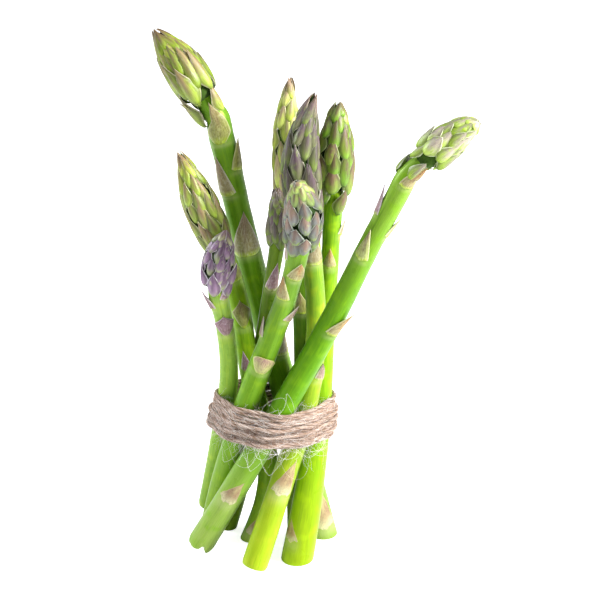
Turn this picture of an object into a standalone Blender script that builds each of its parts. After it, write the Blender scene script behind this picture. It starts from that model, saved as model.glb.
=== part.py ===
"""A bundle of nine asparagus spears that stands on its cut ends, held at the waist by a wrap of jute twine.

Run it with: blender --background --python part.py
+Z is up, -Y is the front, and the origin is the middle of the bundle's base. Lengths in the tables are
millimetres, and MM turns them into Blender's metres.
"""

import math

import bmesh
import bpy
import numpy as np
from mathutils import Vector, geometry

MM = 0.001
GAP = 0.3  # between pieces that touch
FLOOR = 0.0
TORN_DEPTH = 3.0
FRONT = np.array([0.0, -1.0, 0.0])

STEM_SIDES = 12
STEM_STEP = 14.0  # between the rings of a stem
BUD_SIDES = 10
BUD_RINGS = 8

LEAF_ACROSS = 6
LEAF_ALONG = 4
LEAF_THICK = 0.8
LEAF_GAP = 0.4  # more than GAP, because a leaf's flat faces cut the corner round its stem

WAIST = 65.5  # height of the middle of the wrap
TWINE = 1.5  # diameter
TWINE_SIDES = 6
TWINE_PITCH = 1.7
INNER_TURNS = 10
OUTER_TURNS = 3
TURN_POINTS = 240  # worked out on each turn, before those that the cord's bends don't need are left out
BEND = math.radians(8)  # the least by which the cord turns between two rings, except on long straight runs
LONGEST_STEP = 12.0
OUTER_PITCH = 3.6
CLIMB = 0.4  # of a turn, in which the cord climbs onto the outer layer
BACK = math.pi / 2  # direction of the knot, in radians from +X
KNOT_RADIUS = 2.5
KNOT_RINGS = 15
TAIL_LENGTH = 9.0
TAIL_SPREAD = 0.6  # sideways, for each millimetre of the tail
TAIL_DROOP = 0.8
TAIL_STAND_OFF = 0.3
OUTLINE_POINTS = 40  # round each stem, where the cord is laid against it

# Each spear is a smooth line from its cut end to its tip. stem rows are x, y, z and radius up to the neck.
# bud rows are x, y, z of the bud's thickest place and its tip, with the thickest radius after them.
# A leaf is the height of its base, the side that it grows on in degrees from the front, positive to the
# right, its length, half of its width in degrees round the stem, how far its tip stands off, and how many
# degrees round the stem it leans by its tip.
SPEARS = {
    "tall_left": {
        "stem": [
            (7.0, 8.7, -3.0, 6.3),
            (-9.0, 17.8, 61.0, 6.0),
            (-17.5, 22.0, 94.0, 5.8),
            (-29.5, 24.0, 146.5, 5.4),
            (-38.0, 25.7, 185.0, 5.2),
        ],
        "bud": ((-50.0, 27.0, 206.0), (-62.0, 28.0, 222.5), 7.0),
        "cut": "level",
        "stem_colour": (0.20, 0.38, 0.06),
        "bud_colour": (0.33, 0.38, 0.12),
        "leaves": [
            (3.5, 25.0, 17.5, 62.0, 0.6, 20.0),
            (82.0, 50.0, 12.0, 42.0, 1.2, 25.0),
            (128.0, 2.0, 20.0, 78.0, 0.8, 25.0),
            (142.0, 172.0, 18.0, 60.0, 0.8, 10.0),
            (154.5, -42.0, 18.0, 58.0, 0.8, 0.0),
            (164.5, 56.0, 13.0, 42.0, 1.6, 15.0),
            (177.0, -8.0, 18.0, 60.0, 0.4, 25.0),
            (187.0, -85.0, 12.0, 40.0, 2.6, 20.0),
        ],
    },
    "left": {
        "stem": [
            (-26.0, 5.0, -3.0, 4.9),
            (-16.8, 4.6, 36.0, 4.6),
            (-20.6, 3.8, 60.0, 4.7),
            (-25.4, 6.2, 84.0, 4.4),
            (-29.5, 11.5, 114.0, 4.0),
            (-35.0, 12.0, 132.0, 4.3),
        ],
        "bud": ((-44.0, 13.0, 152.0), (-52.0, 14.0, 176.0), 7.3),
        "cut": "level",
        "stem_colour": (0.22, 0.38, 0.07),
        "bud_colour": (0.33, 0.38, 0.13),
        "leaves": [
            (2.5, -5.0, 17.0, 58.0, 0.6, 20.0),
            (82.5, -8.0, 9.0, 34.0, 0.6, -4.0),
            (100.5, 8.0, 13.0, 60.0, 0.6, 0.0),
            (110.0, 170.0, 12.0, 55.0, 0.6, 0.0),
            (121.0, 22.0, 12.0, 60.0, 0.6, 15.0),
        ],
    },
    "purple": {
        "stem": [
            (-44.8, 17.5, 9.5, 4.1),
            (-41.2, 13.4, 30.0, 4.1),
            (-38.0, 7.0, 50.0, 4.1),
            (-33.2, 1.0, 80.0, 4.0),
            (-34.9, -2.0, 108.5, 3.7),
            (-37.3, -3.5, 122.0, 4.0),
        ],
        "bud": ((-36.5, -4.5, 136.0), (-33.2, -5.0, 149.0), 6.4),
        "cut": "square",
        "stem_colour": (0.24, 0.38, 0.08),
        "bud_colour": (0.24, 0.18, 0.23),
        "leaves": [
            (103.0, 8.0, 10.0, 75.0, 0.8, 0.0),
            (115.5, -70.0, 8.0, 48.0, 1.6, 0.0),
            (119.0, 62.0, 9.0, 50.0, 1.0, 0.0),
        ],
    },
    "back": {
        "stem": [
            (-4.0, 1.7, -3.0, 4.8),
            (-4.6, 2.7, 33.0, 4.6),
            (-1.8, 8.2, 62.0, 4.4),
            (-2.0, 9.8, 77.0, 4.3),
            (-2.5, 12.0, 109.0, 4.2),
            (-7.3, 16.6, 150.0, 4.3),
        ],
        "bud": ((-9.0, 19.2, 170.0), (-7.6, 22.0, 204.5), 6.2),
        "cut": "level",
        "stem_colour": (0.17, 0.33, 0.06),
        "bud_colour": (0.33, 0.40, 0.12),
        "leaves": [
            (106.5, -8.0, 10.0, 55.0, 0.6, 0.0),
            (128.0, 160.0, 13.0, 60.0, 0.8, 0.0),
        ],
    },
    "centre": {
        "stem": [
            (-23.2, -21.5, 2.4, 5.6),
            (-10.4, -12.5, 41.5, 5.1),
            (-0.8, -7.0, 72.0, 4.6),
            (2.9, -3.5, 100.0, 4.1),
            (1.6, 1.0, 132.0, 3.8),
            (-0.5, 2.5, 148.0, 4.4),
        ],
        "bud": ((-4.0, 5.0, 172.0), (1.6, 8.0, 202.0), 7.4),
        "cut": "square",
        "stem_colour": (0.34, 0.50, 0.07),
        "bud_colour": (0.22, 0.22, 0.14),
        "leaves": [
            (34.5, 3.0, 17.0, 55.0, 0.4, 25.0),
            (84.0, 55.0, 8.0, 45.0, 1.0, -15.0),
            (132.5, 8.0, 13.0, 78.0, 0.6, 10.0),
        ],
    },
    "right": {
        "stem": [
            (-5.4, -11.6, -3.0, 7.0),
            (1.1, -6.8, 38.0, 5.95),
            (3.3, -2.1, 55.0, 5.5),
            (6.4, 6.4, 96.0, 4.2),
            (9.0, 11.0, 137.0, 3.6),
            (9.6, 12.6, 152.0, 4.0),
        ],
        "bud": ((10.2, 14.0, 172.0), (11.5, 16.0, 195.5), 7.2),
        "cut": "level",
        "stem_colour": (0.34, 0.52, 0.07),
        "bud_colour": (0.20, 0.25, 0.10),
        "leaves": [
            (9.5, -52.0, 10.0, 35.0, 0.6, -10.0),
            (127.5, -4.0, 9.0, 45.0, 0.8, 0.0),
            (141.0, 80.0, 7.0, 40.0, 1.4, 0.0),
        ],
    },
    "nodding": {
        "stem": [
            (-42.0, 8.0, 5.0, 5.3),
            (-36.0, 2.6, 34.0, 5.2),
            (-30.0, -4.6, 58.0, 5.1),
            (-20.0, -9.0, 91.0, 5.0),
            (-12.0, -12.0, 114.0, 4.6),
            (-5.7, -15.5, 137.0, 3.8),
            (-4.2, -17.2, 146.0, 4.2),
        ],
        "bud": ((-1.8, -20.0, 161.0), (-5.0, -26.0, 177.0), 7.6),
        "cut": "square",
        "stem_colour": (0.24, 0.40, 0.08),
        "bud_colour": (0.30, 0.27, 0.21),
        "leaves": [
            (90.5, 2.0, 8.0, 58.0, 0.6, 0.0),
            (104.0, -95.0, 9.0, 40.0, 1.4, 0.0),
            (115.0, 52.0, 8.0, 42.0, 1.4, 15.0),
            (119.0, 168.0, 11.0, 50.0, 0.8, 0.0),
            (124.0, -42.0, 11.0, 55.0, 0.8, -12.0),
            (134.0, 18.0, 9.5, 60.0, 1.6, 0.0),
            (140.5, -98.0, 10.0, 38.0, 1.4, 0.0),
        ],
    },
    "crossing": {
        "stem": [
            (-47.1, -5.0, 2.8, 5.9),
            (-17.0, -11.0, 61.0, 5.3),
            (7.5, -17.0, 112.0, 4.8),
            (30.5, -25.0, 166.0, 4.1),
            (37.0, -27.0, 179.0, 4.2),
        ],
        "bud": ((45.0, -28.8, 189.5), (62.5, -32.0, 203.3), 5.8),
        "cut": "torn",
        "stem_colour": (0.26, 0.44, 0.08),
        "bud_colour": (0.31, 0.40, 0.12),
        "leaves": [
            (28.0, -18.0, 13.0, 45.0, 0.5, 30.0),
            (111.5, 28.0, 13.0, 42.0, 2.6, 25.0),
            (127.0, 165.0, 13.0, 46.0, 0.8, 0.0),
            (145.0, -25.0, 14.0, 42.0, 0.6, -15.0),
            (156.0, 76.0, 10.0, 34.0, 1.6, 0.0),
            (162.0, -92.0, 13.0, 40.0, 1.8, 0.0),
            (177.5, 5.0, 13.0, 55.0, 0.8, 8.0),
        ],
    },
    "short": {
        "stem": [
            (-36.5, 14.0, -3.0, 3.7),
            (-22.6, 13.7, 61.0, 3.4),
            (-20.8, 13.2, 85.0, 3.2),
            (-18.2, 7.8, 103.0, 3.0),
            (-14.0, -2.5, 135.0, 2.9),
            (-12.8, -4.5, 142.0, 3.1),
        ],
        "bud": ((-12.2, -6.0, 155.0), (-12.8, -7.0, 167.5), 4.3),
        "cut": "level",
        "stem_colour": (0.16, 0.30, 0.07),
        "bud_colour": (0.16, 0.14, 0.12),
        "leaves": [
            (122.0, 12.0, 16.0, 60.0, 0.6, 8.0),
        ],
    },
}


def clear_scene():
    for thing in list(bpy.data.objects):
        bpy.data.objects.remove(thing)


def make_material(name, colour, roughness):
    material = bpy.data.materials.new(name)
    material.use_nodes = True
    shader = material.node_tree.nodes["Principled BSDF"]
    shader.inputs["Base Color"].default_value = (*colour, 1.0)
    shader.inputs["Roughness"].default_value = roughness
    shader.inputs["Metallic"].default_value = 0.0
    return material


def unit(vector):
    return vector / np.linalg.norm(vector)


class CoreLine:
    """The line up the middle of a spear. It can be read at any length from the cut end, in millimetres."""

    SAMPLES = 24  # between two rows of the table

    def __init__(self, spear):
        rows = spear["stem"]
        self.rows = np.array([row[:3] for row in rows] + [spear["bud"][0], spear["bud"][1]])
        self.points = self.smooth_points()
        steps = np.linalg.norm(np.diff(self.points, axis=0), axis=1)
        self.lengths = np.concatenate([[0.0], np.cumsum(steps)])
        self.row_lengths = self.lengths[:: self.SAMPLES]
        self.radii = [row[3] for row in rows]
        self.neck = self.row_lengths[len(rows) - 1]
        self.belly = self.row_lengths[len(rows)]
        self.tip = self.lengths[-1]
        self.belly_radius = spear["bud"][2]

    def smooth_points(self):
        """A Hermite curve through the rows, with each row's slope taken from its neighbours."""
        rows = self.rows
        knots = np.concatenate([[0.0], np.cumsum(np.linalg.norm(np.diff(rows, axis=0), axis=1))])
        slopes = np.gradient(rows, knots, axis=0, edge_order=2)
        points = []
        for i in range(len(rows) - 1):
            span = knots[i + 1] - knots[i]
            for t in np.arange(self.SAMPLES) / self.SAMPLES:
                points.append(
                    (2 * t**3 - 3 * t**2 + 1) * rows[i]
                    + (t**3 - 2 * t**2 + t) * span * slopes[i]
                    + (3 * t**2 - 2 * t**3) * rows[i + 1]
                    + (t**3 - t**2) * span * slopes[i + 1]
                )
        return np.array(points + [rows[-1]])

    def point(self, length):
        return np.array([np.interp(length, self.lengths, self.points[:, k]) for k in range(3)])

    def frame(self, length):
        """The place, the direction of growth, the front and the right at this length."""
        along = unit(self.point(min(length + 1.0, self.tip)) - self.point(max(length - 1.0, 0.0)))
        front = unit(FRONT - FRONT.dot(along) * along)
        return self.point(length), along, front, np.cross(along, front)

    def stem_radius(self, length):
        return float(np.interp(length, self.row_lengths[: len(self.radii)], self.radii))

    def bud_radius(self, length):
        """Swells from the neck to the thickest place, then closes in an arch to the tip."""
        if length < self.belly:
            share = (length - self.neck) / (self.belly - self.neck)
            return self.radii[-1] + (self.belly_radius - self.radii[-1]) * math.sin(share * math.pi / 2)
        share = (length - self.belly) / (self.tip - self.belly)
        return self.belly_radius * (1.0 - share**1.6) ** 0.95

    def radius(self, length):
        return self.stem_radius(length) if length <= self.neck else self.bud_radius(length)

    def length_at_height(self, height):
        return float(np.interp(height, self.points[:, 2], self.lengths))

    def on_surface(self, length, side, lift=0.0):
        """The point at this lift over the skin, at this length and this side in radians from the front."""
        place, _, front, right = self.frame(length)
        out = math.cos(side) * front + math.sin(side) * right
        return place + (self.radius(length) + lift) * out

    def outline_at_height(self, height, lift):
        """Points on the level cut through the spear, lift outside its skin."""
        place, along, front, right = self.frame(self.length_at_height(height))
        reach = self.stem_radius(self.length_at_height(height)) + lift
        turns = np.linspace(0.0, 2 * math.pi, OUTLINE_POINTS, endpoint=False)
        out = np.outer(np.cos(turns), front) + np.outer(np.sin(turns), right)
        return place + reach * (out - np.outer(out[:, 2] / along[2], along))


def to_object(name, bm, material):
    """Turns a shape in millimetres into the named object."""
    for vertex in bm.verts:
        vertex.co *= MM
    bmesh.ops.recalc_face_normals(bm, faces=bm.faces[:])
    mesh = bpy.data.meshes.new(name)
    bm.to_mesh(mesh)
    bm.free()
    mesh.materials.append(material)
    mesh.shade_smooth()
    mesh.set_sharp_from_angle(angle=math.radians(50))
    obj = bpy.data.objects.new(name, mesh)
    bpy.context.scene.collection.objects.link(obj)
    return obj


def skin(bm, rings):
    """Joins rings of the same count of vertices with quads."""
    for low, high in zip(rings, rings[1:]):
        count = len(low)
        for i in range(count):
            j = (i + 1) % count
            bm.faces.new((low[i], low[j], high[j], high[i]))


def ring_of(bm, line, length, radius, sides, shift=None):
    """A ring of vertices round the core line. shift moves each one along it, by its place in the ring."""
    place, along, front, right = line.frame(length)
    ring = []
    for i in range(sides):
        turn = 2 * math.pi * i / sides
        out = math.cos(turn) * front + math.sin(turn) * right
        ring.append(bm.verts.new(place + radius * out + (shift(turn) if shift else 0.0) * along))
    return ring


def close_with_point(bm, ring, place):
    point = bm.verts.new(place)
    for i, vertex in enumerate(ring):
        bm.faces.new((vertex, ring[(i + 1) % len(ring)], point))


def cut_level(bm):
    """Takes off what is under the floor and closes the cut with a flat face."""
    cut = bmesh.ops.bisect_plane(
        bm,
        geom=bm.verts[:] + bm.edges[:] + bm.faces[:],
        plane_co=(0, 0, FLOOR),
        plane_no=(0, 0, 1),
        clear_inner=True,
    )
    edges = [item for item in cut["geom_cut"] if isinstance(item, bmesh.types.BMEdge)]
    bmesh.ops.contextual_create(bm, geom=edges)


def torn_edge(turn):
    """How far the torn end of a stem is drawn in, with teeth of two sizes."""
    return TORN_DEPTH * (0.5 + 0.35 * math.sin(2 * turn + 0.6) + 0.15 * math.sin(5 * turn))


def make_stem(name, spear, line, material):
    bm = bmesh.new()
    count = round(line.neck / STEM_STEP)
    torn = spear["cut"] == "torn"
    rings = []
    for i, length in enumerate(np.linspace(0.0, line.neck, count + 1)):
        shift = torn_edge if torn and i == 0 else None
        rings.append(ring_of(bm, line, length, line.stem_radius(length), STEM_SIDES, shift))
    skin(bm, rings)
    if torn:
        close_with_point(bm, rings[0], line.point(TORN_DEPTH))
    else:
        bm.faces.new(rings[0])
    bm.faces.new(rings[-1])
    if spear["cut"] == "level":
        cut_level(bm)
    return to_object(name, bm, material)


def make_bud(name, line, material):
    """The closed tip of a spear, in which the scales lie tightly over each other."""
    bm = bmesh.new()
    start = line.neck + GAP
    rings = []
    for length in np.linspace(start, line.tip, BUD_RINGS, endpoint=False):
        rings.append(ring_of(bm, line, length, line.bud_radius(length), BUD_SIDES))
    skin(bm, rings)
    bm.faces.new(rings[0])
    close_with_point(bm, rings[-1], line.point(line.tip))
    return to_object(name, bm, material)


def make_leaf(name, line, leaf, material):
    """A pointed scale leaf that lies on its stem, thin at its edges."""
    height, side, long, half_width, stand_off, lean = leaf
    base = line.length_at_height(height)
    bm = bmesh.new()

    def place(share, across, outer):
        """A point share of the way to the tip and across from -1 to 1, on the outer or the inner face."""
        turn = math.radians(side + lean * share + across * half_width * (1.0 - share) ** 0.8)
        thick = LEAF_THICK * (1.0 - 0.5 * across**2) * (1.0 - 0.4 * share)
        lift = LEAF_GAP + stand_off * share**2 + (thick if outer else 0.0)
        return line.on_surface(base + long * share, turn, lift)

    shares = np.arange(LEAF_ALONG) / LEAF_ALONG
    crosses = np.linspace(-1.0, 1.0, LEAF_ACROSS + 1)
    faces = {
        outer: [[bm.verts.new(place(share, across, outer)) for across in crosses] for share in shares]
        for outer in (True, False)
    }
    loops = [out + inn[::-1] for out, inn in zip(faces[True], faces[False])]
    skin(bm, loops)
    bm.faces.new(loops[0])
    close_with_point(bm, loops[-1], (place(1.0, 0.0, True) + place(1.0, 0.0, False)) / 2)
    return to_object(name, bm, material)


class Waist:
    """The line that a cord takes when it is pulled tight round all the stems at one height."""

    def __init__(self, lines):
        self.lines = lines
        self.middle = np.mean([line.point(line.length_at_height(WAIST))[:2] for line in lines], axis=0)

    def point(self, turn, height, lift):
        """The point in the direction turn, in radians from +X, lift outside the stems' common outline."""
        corners = [
            Vector(place[:2]) for line in self.lines for place in line.outline_at_height(height, lift)
        ]
        hull = [np.array(corners[i]) - self.middle for i in geometry.convex_hull_2d(corners)]
        ray = np.array([math.cos(turn), math.sin(turn)])
        across = np.array([-ray[1], ray[0]])
        for near, far in zip(hull, hull[1:] + hull[:1]):
            a, b = across.dot(near), across.dot(far)
            if a * b <= 0 and a != b:
                reach = ray.dot(near + (far - near) * a / (a - b))
                if reach > 0:
                    return np.array([*(self.middle + reach * ray), height])


def thin_out(places):
    """Leaves out places while the line bends less than BEND."""
    kept = [places[0]]
    for near, far in zip(places[1:], places[2:]):
        before, after = unit(near - kept[-1]), unit(far - near)
        if before.dot(after) < math.cos(BEND) or np.linalg.norm(far - kept[-1]) > LONGEST_STEP:
            kept.append(near)
    return kept + [places[-1]]


def sweep(name, places, radii, material):
    """A closed tube through the places, as a chain of rings that turn as little as they can."""
    bm = bmesh.new()
    ends = [places[0], *places, places[-1]]
    side = np.array([0.0, 0.0, 1.0])
    rings = []
    for before, place, after, radius in zip(ends, places, ends[2:], radii):
        along = unit(after - before)
        side = unit(side - side.dot(along) * along)
        other = np.cross(along, side)
        ring = []
        for turn in np.arange(TWINE_SIDES) * 2 * math.pi / TWINE_SIDES:
            ring.append(bm.verts.new(place + radius * (math.cos(turn) * side + math.sin(turn) * other)))
        rings.append(ring)
    skin(bm, rings)
    bm.faces.new(rings[0])
    bm.faces.new(rings[-1])
    return to_object(name, bm, material)


def wrap_height(turns):
    """The inner turns go down the waist side by side, and the outer ones climb back over them."""
    top = WAIST + TWINE_PITCH * (INNER_TURNS - 1) / 2
    bottom = top - TWINE_PITCH * (INNER_TURNS - CLIMB)
    if turns < INNER_TURNS - CLIMB:
        return top - TWINE_PITCH * turns
    return bottom + OUTER_PITCH * max(turns - INNER_TURNS, 0.0)


def wrap_lift(turns):
    share = min(max((turns - (INNER_TURNS - CLIMB)) / CLIMB, 0.0), 1.0)
    return GAP + TWINE / 2 + share * (TWINE + GAP)


def knot_place(waist):
    """The middle of the knot, which lies on the inner turns where the outer ones end."""
    lift = wrap_lift(0.0) + TWINE / 2 + GAP + KNOT_RADIUS
    return waist.point(BACK, wrap_height(INNER_TURNS + OUTER_TURNS), lift)


def make_wrap(waist, material):
    """One cord from the knot back to the knot: close turns down, and then the wider ones back up."""
    knot_room = (KNOT_RADIUS + TWINE) / np.linalg.norm(knot_place(waist)[:2] - waist.middle)
    last = INNER_TURNS + OUTER_TURNS - knot_room / (2 * math.pi)
    route = []
    for turns in np.linspace(0.0, last, TURN_POINTS * (INNER_TURNS + OUTER_TURNS)):
        route.append(waist.point(BACK + 2 * math.pi * turns, wrap_height(turns), wrap_lift(turns)))
    route = thin_out(route)
    sweep("twine_wrap", route, [TWINE / 2] * len(route), material)


def make_knot(waist, material):
    """A small hard knot with two short ends that hang from it, as one chain of rings from end to end."""
    middle = knot_place(waist)
    away = unit(np.array([*(middle[:2] - waist.middle), 0.0]))
    right = np.cross([0.0, 0.0, 1.0], away)
    places, radii = [], []
    for share in np.linspace(-1.0, 1.0, KNOT_RINGS):
        reach = abs(share) * (KNOT_RADIUS + TAIL_LENGTH)
        sideways = math.copysign(TAIL_SPREAD * reach, share) * right
        droop = np.array([0.0, 0.0, -TAIL_DROOP * reach * abs(share)])
        places.append(middle + sideways + droop + TAIL_STAND_OFF * reach * away)
        radii.append(max(math.sqrt(max(KNOT_RADIUS**2 - reach**2, 0.0)), TWINE / 2))
    sweep("twine_knot", places, radii, material)


def main():
    clear_scene()
    lines = {key: CoreLine(spear) for key, spear in SPEARS.items()}
    leaf_skin = make_material("leaf_skin", (0.36, 0.30, 0.20), 0.6)
    jute = make_material("jute", (0.42, 0.28, 0.17), 0.9)
    for key, spear in SPEARS.items():
        stem_skin = make_material(f"{key}_stem_skin", spear["stem_colour"], 0.4)
        bud_scales = make_material(f"{key}_bud_scales", spear["bud_colour"], 0.5)
        make_stem(f"{key}_stem", spear, lines[key], stem_skin)
        make_bud(f"{key}_bud", lines[key], bud_scales)
        for number, leaf in enumerate(spear["leaves"], start=1):
            make_leaf(f"{key}_leaf_{number}", lines[key], leaf, leaf_skin)
    waist = Waist(list(lines.values()))
    make_wrap(waist, jute)
    make_knot(waist, jute)


main()
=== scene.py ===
import math

import bmesh
import bpy
import numpy as np
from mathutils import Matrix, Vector, geometry


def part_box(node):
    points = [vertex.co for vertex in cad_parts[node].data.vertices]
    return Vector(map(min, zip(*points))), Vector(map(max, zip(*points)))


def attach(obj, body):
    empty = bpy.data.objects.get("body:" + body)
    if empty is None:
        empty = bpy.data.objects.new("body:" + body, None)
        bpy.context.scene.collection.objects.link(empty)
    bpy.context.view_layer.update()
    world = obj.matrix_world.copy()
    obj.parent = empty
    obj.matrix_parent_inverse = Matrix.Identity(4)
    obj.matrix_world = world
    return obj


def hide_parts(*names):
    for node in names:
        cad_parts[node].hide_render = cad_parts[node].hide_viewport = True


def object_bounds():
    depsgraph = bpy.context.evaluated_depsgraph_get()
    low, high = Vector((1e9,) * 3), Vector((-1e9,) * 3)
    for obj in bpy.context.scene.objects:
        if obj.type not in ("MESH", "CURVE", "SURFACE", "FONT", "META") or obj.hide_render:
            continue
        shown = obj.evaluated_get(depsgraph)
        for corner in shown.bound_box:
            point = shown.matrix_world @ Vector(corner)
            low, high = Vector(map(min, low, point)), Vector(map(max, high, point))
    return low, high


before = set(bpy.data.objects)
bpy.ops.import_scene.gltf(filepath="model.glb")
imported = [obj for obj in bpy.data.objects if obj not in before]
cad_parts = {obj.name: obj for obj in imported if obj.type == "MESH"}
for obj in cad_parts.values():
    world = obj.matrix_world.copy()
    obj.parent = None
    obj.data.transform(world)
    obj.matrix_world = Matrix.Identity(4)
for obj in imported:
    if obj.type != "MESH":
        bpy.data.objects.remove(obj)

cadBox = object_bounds()
mm = 0.001
scene = bpy.context.scene

# nodes, for materials and for geometry trees


class Value:
    # an output of a node; a sum with it makes another node in its tree
    def __init__(self, tree, socket):
        self.tree, self.socket = tree, socket

    def other(self, output):
        return Value(self.tree, self.socket.node.outputs[output])


def fill(made, inputs):
    for label, value in inputs.items():
        socket = made.inputs[label]
        if isinstance(value, Value):
            value.tree.links.new(value.socket, socket)
        else:
            socket.default_value = (*value, 1.0) if socket.type == "RGBA" else value


def node(kind, inputs=None, output=0, tree=None, **settings):
    # one output of a new node, in the tree that the values of its inputs are in
    inputs = inputs or {}
    if tree is None:
        tree = next(value.tree for value in inputs.values() if isinstance(value, Value))
    made = tree.nodes.new(kind)
    for name, value in settings.items():
        setattr(made, name, value)
    fill(made, inputs)
    return Value(tree, made.outputs[output])


def combine(operation, *values):
    # a sum of vectors where the first value is one, and else of numbers
    first = values[0]
    if not isinstance(first, Value) or first.socket.type not in ("VECTOR", "RGBA"):
        return node("ShaderNodeMath", dict(enumerate(values)), operation=operation)
    if operation == "MULTIPLY":
        return node("ShaderNodeVectorMath", {0: first, 3: values[1]}, operation="SCALE")
    output = 1 if operation == "LENGTH" else 0
    return node("ShaderNodeVectorMath", dict(enumerate(values)), output, operation=operation)


signs = {"add": "ADD", "sub": "SUBTRACT", "mul": "MULTIPLY", "truediv": "DIVIDE", "pow": "POWER"}
for sign, operation in signs.items():
    setattr(Value, f"__{sign}__", lambda self, other, how=operation: combine(how, self, other))
    setattr(Value, f"__r{sign}__", lambda self, other, how=operation: combine(how, other, self))


def vector(x=0.0, y=0.0, z=0.0):
    return node("ShaderNodeCombineXYZ", {0: x, 1: y, 2: z})


def ranged(share, low, high):
    # what lies this share of the way from low to high
    return node("ShaderNodeMapRange", {0: share, 3: low, 4: high})


def between(value, low, high, toLow=0.0, toHigh=1.0):
    # the value's place from low to high, carried over to another range with soft ends
    inputs = {0: value, 1: low, 2: high, 3: toLow, 4: toHigh}
    return node("ShaderNodeMapRange", inputs, interpolation_type="SMOOTHSTEP")


def mixed(share, first, second, how="MIX"):
    return node("ShaderNodeMix", {0: share, 6: first, 7: second}, 2, data_type="RGBA", blend_type=how)


def painted(colour, *layers):
    # colours laid on one after the other, each by a value, where it starts and is full, and how much shows then
    for value, start, full, most, over in layers:
        colour = mixed(between(value, start, full, 0.0, most), colour, over)
    return colour


def noise(spot, scale, detail, output="Fac"):
    return node("ShaderNodeTexNoise", {"Vector": spot, "Scale": scale, "Detail": detail}, output)


def bumped(height, strength, distance):
    return node("ShaderNodeBump", {"Height": height, "Strength": strength, "Distance": distance})


def attribute(tree, name, output="Fac"):
    return node("ShaderNodeAttribute", None, output, tree, attribute_name=name)


def newTree(name, kind, inputs, outputs):
    # a tree whose sockets are listed by kind, what it is given, and the node that its results go to
    tree = bpy.data.node_groups.new(name, kind)
    for way, kinds in (("INPUT", inputs), ("OUTPUT", outputs)):
        for socketKind, labels in kinds.items():
            for label in labels:
                tree.interface.new_socket(name=label, in_out=way, socket_type=f"NodeSocket{socketKind}")
    given = tree.nodes.new("NodeGroupInput").outputs
    return tree, {socket.name: Value(tree, socket) for socket in given}, tree.nodes.new("NodeGroupOutput")


def newMaterial(name):
    material = bpy.data.materials.new(name)
    material.use_nodes = True
    tree = material.node_tree
    return material, tree, tree.nodes["Principled BSDF"]


def buildStreakGroup():
    # long fine streaks up a stem, a scale or a thread, and broad clouds
    inputs = {"Vector": ["Grown"], "Float": ["Streak Width", "Stretch"]}
    tree, given, out = newTree("growthStreaks", "ShaderNodeTree", inputs, {"Float": ["Streak", "Cloud"]})
    across = node("ShaderNodeSeparateXYZ", {0: given["Grown"] * (1.0 / given["Streak Width"])})
    squashed = vector(across, across.other(1), across.other(2) / given["Stretch"])
    cloudsPerMetre = 180.0
    fill(out, {"Streak": noise(squashed, 1.0, 2.0), "Cloud": noise(given["Grown"] * cloudsPerMetre, 1.0, 1.0)})
    return tree


growthStreaks = buildStreakGroup()


def streaked(grown, width, stretch):
    inputs = {"Grown": grown, "Streak Width": width, "Stretch": stretch}
    return node("ShaderNodeGroup", inputs, "Streak", node_tree=growthStreaks)


# camera, lamps and floor

view = {"place": (-0.0037, -0.6240, 0.3945), "tilt": math.radians(66), "lens": 100, "sensor": 36}

lamps = {
    # name: (place, target, width, watts, colour)
    "softRight": ((0.80, -0.30, 0.60), (0, 0, 0.10), 0.30, 21.5, (1.0, 0.99, 0.97)),
    "softLeft": ((-0.85, 0.30, 0.45), (0, 0, 0.12), 0.40, 8.5, (0.90, 0.95, 1.0)),
    "above": ((-0.25, -0.55, 0.85), (0, 0, 0.12), 0.50, 2.4, (1.0, 1.0, 1.0)),
}

studio = {
    "sky": (0.97, 0.98, 1.0),
    "skyLight": 0.17,  # dim as light
    "skySeen": 1.2,  # and brighter by this to the camera
    "paper": (0.94, 0.94, 0.94),
    "paperSeen": (0.8, 0.8, 0.8),  # the floor glows by this to the camera only
    "floorHalf": 3.0,
    "floorDrop": 0.2 * mm,
}


def addCamera():
    camera = bpy.data.objects.new("camera", bpy.data.cameras.new("camera"))
    camera.location = view["place"]
    camera.rotation_euler = (view["tilt"], 0, 0)
    camera.data.lens = view["lens"]
    camera.data.sensor_width = view["sensor"]
    scene.collection.objects.link(camera)
    scene.camera = camera


def addLamps():
    for name, (place, target, width, watts, colour) in lamps.items():
        data = bpy.data.lights.new(name, "AREA")
        data.shape = "DISK"
        data.size, data.energy, data.color = width, watts, colour
        lamp = bpy.data.objects.new(name, data)
        lamp.location = place
        lamp.rotation_euler = (Vector(target) - Vector(place)).to_track_quat("-Z", "Y").to_euler()
        scene.collection.objects.link(lamp)
    world = bpy.data.worlds.new("studio")
    world.use_nodes = True
    tree = world.node_tree
    seen = node("ShaderNodeLightPath", None, "Is Camera Ray", tree)
    strength = seen * studio["skySeen"] + studio["skyLight"]
    fill(tree.nodes["Background"], {"Color": studio["sky"], "Strength": strength})
    scene.world = world
    scene.view_settings.view_transform = "Standard"


def addFloor():
    far = studio["floorHalf"]
    mesh = bpy.data.meshes.new("floor")
    mesh.from_pydata([(-far, -far, 0), (far, -far, 0), (far, far, 0), (-far, far, 0)], [], [(0, 1, 2, 3)])
    floor = bpy.data.objects.new("floor", mesh)
    floor.location.z = cadBox[0][2] - studio["floorDrop"]
    paper, tree, shader = newMaterial("floorPaper")
    fill(shader, {
        "Base Color": studio["paper"], "Roughness": 0.9, "Emission Color": studio["paperSeen"],
        "Emission Strength": node("ShaderNodeLightPath", None, "Is Camera Ray", tree),
    })
    mesh.materials.append(paper)
    scene.collection.objects.link(floor)


addCamera()
addLamps()
addFloor()
print("camera, lamps and floor are up")

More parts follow.
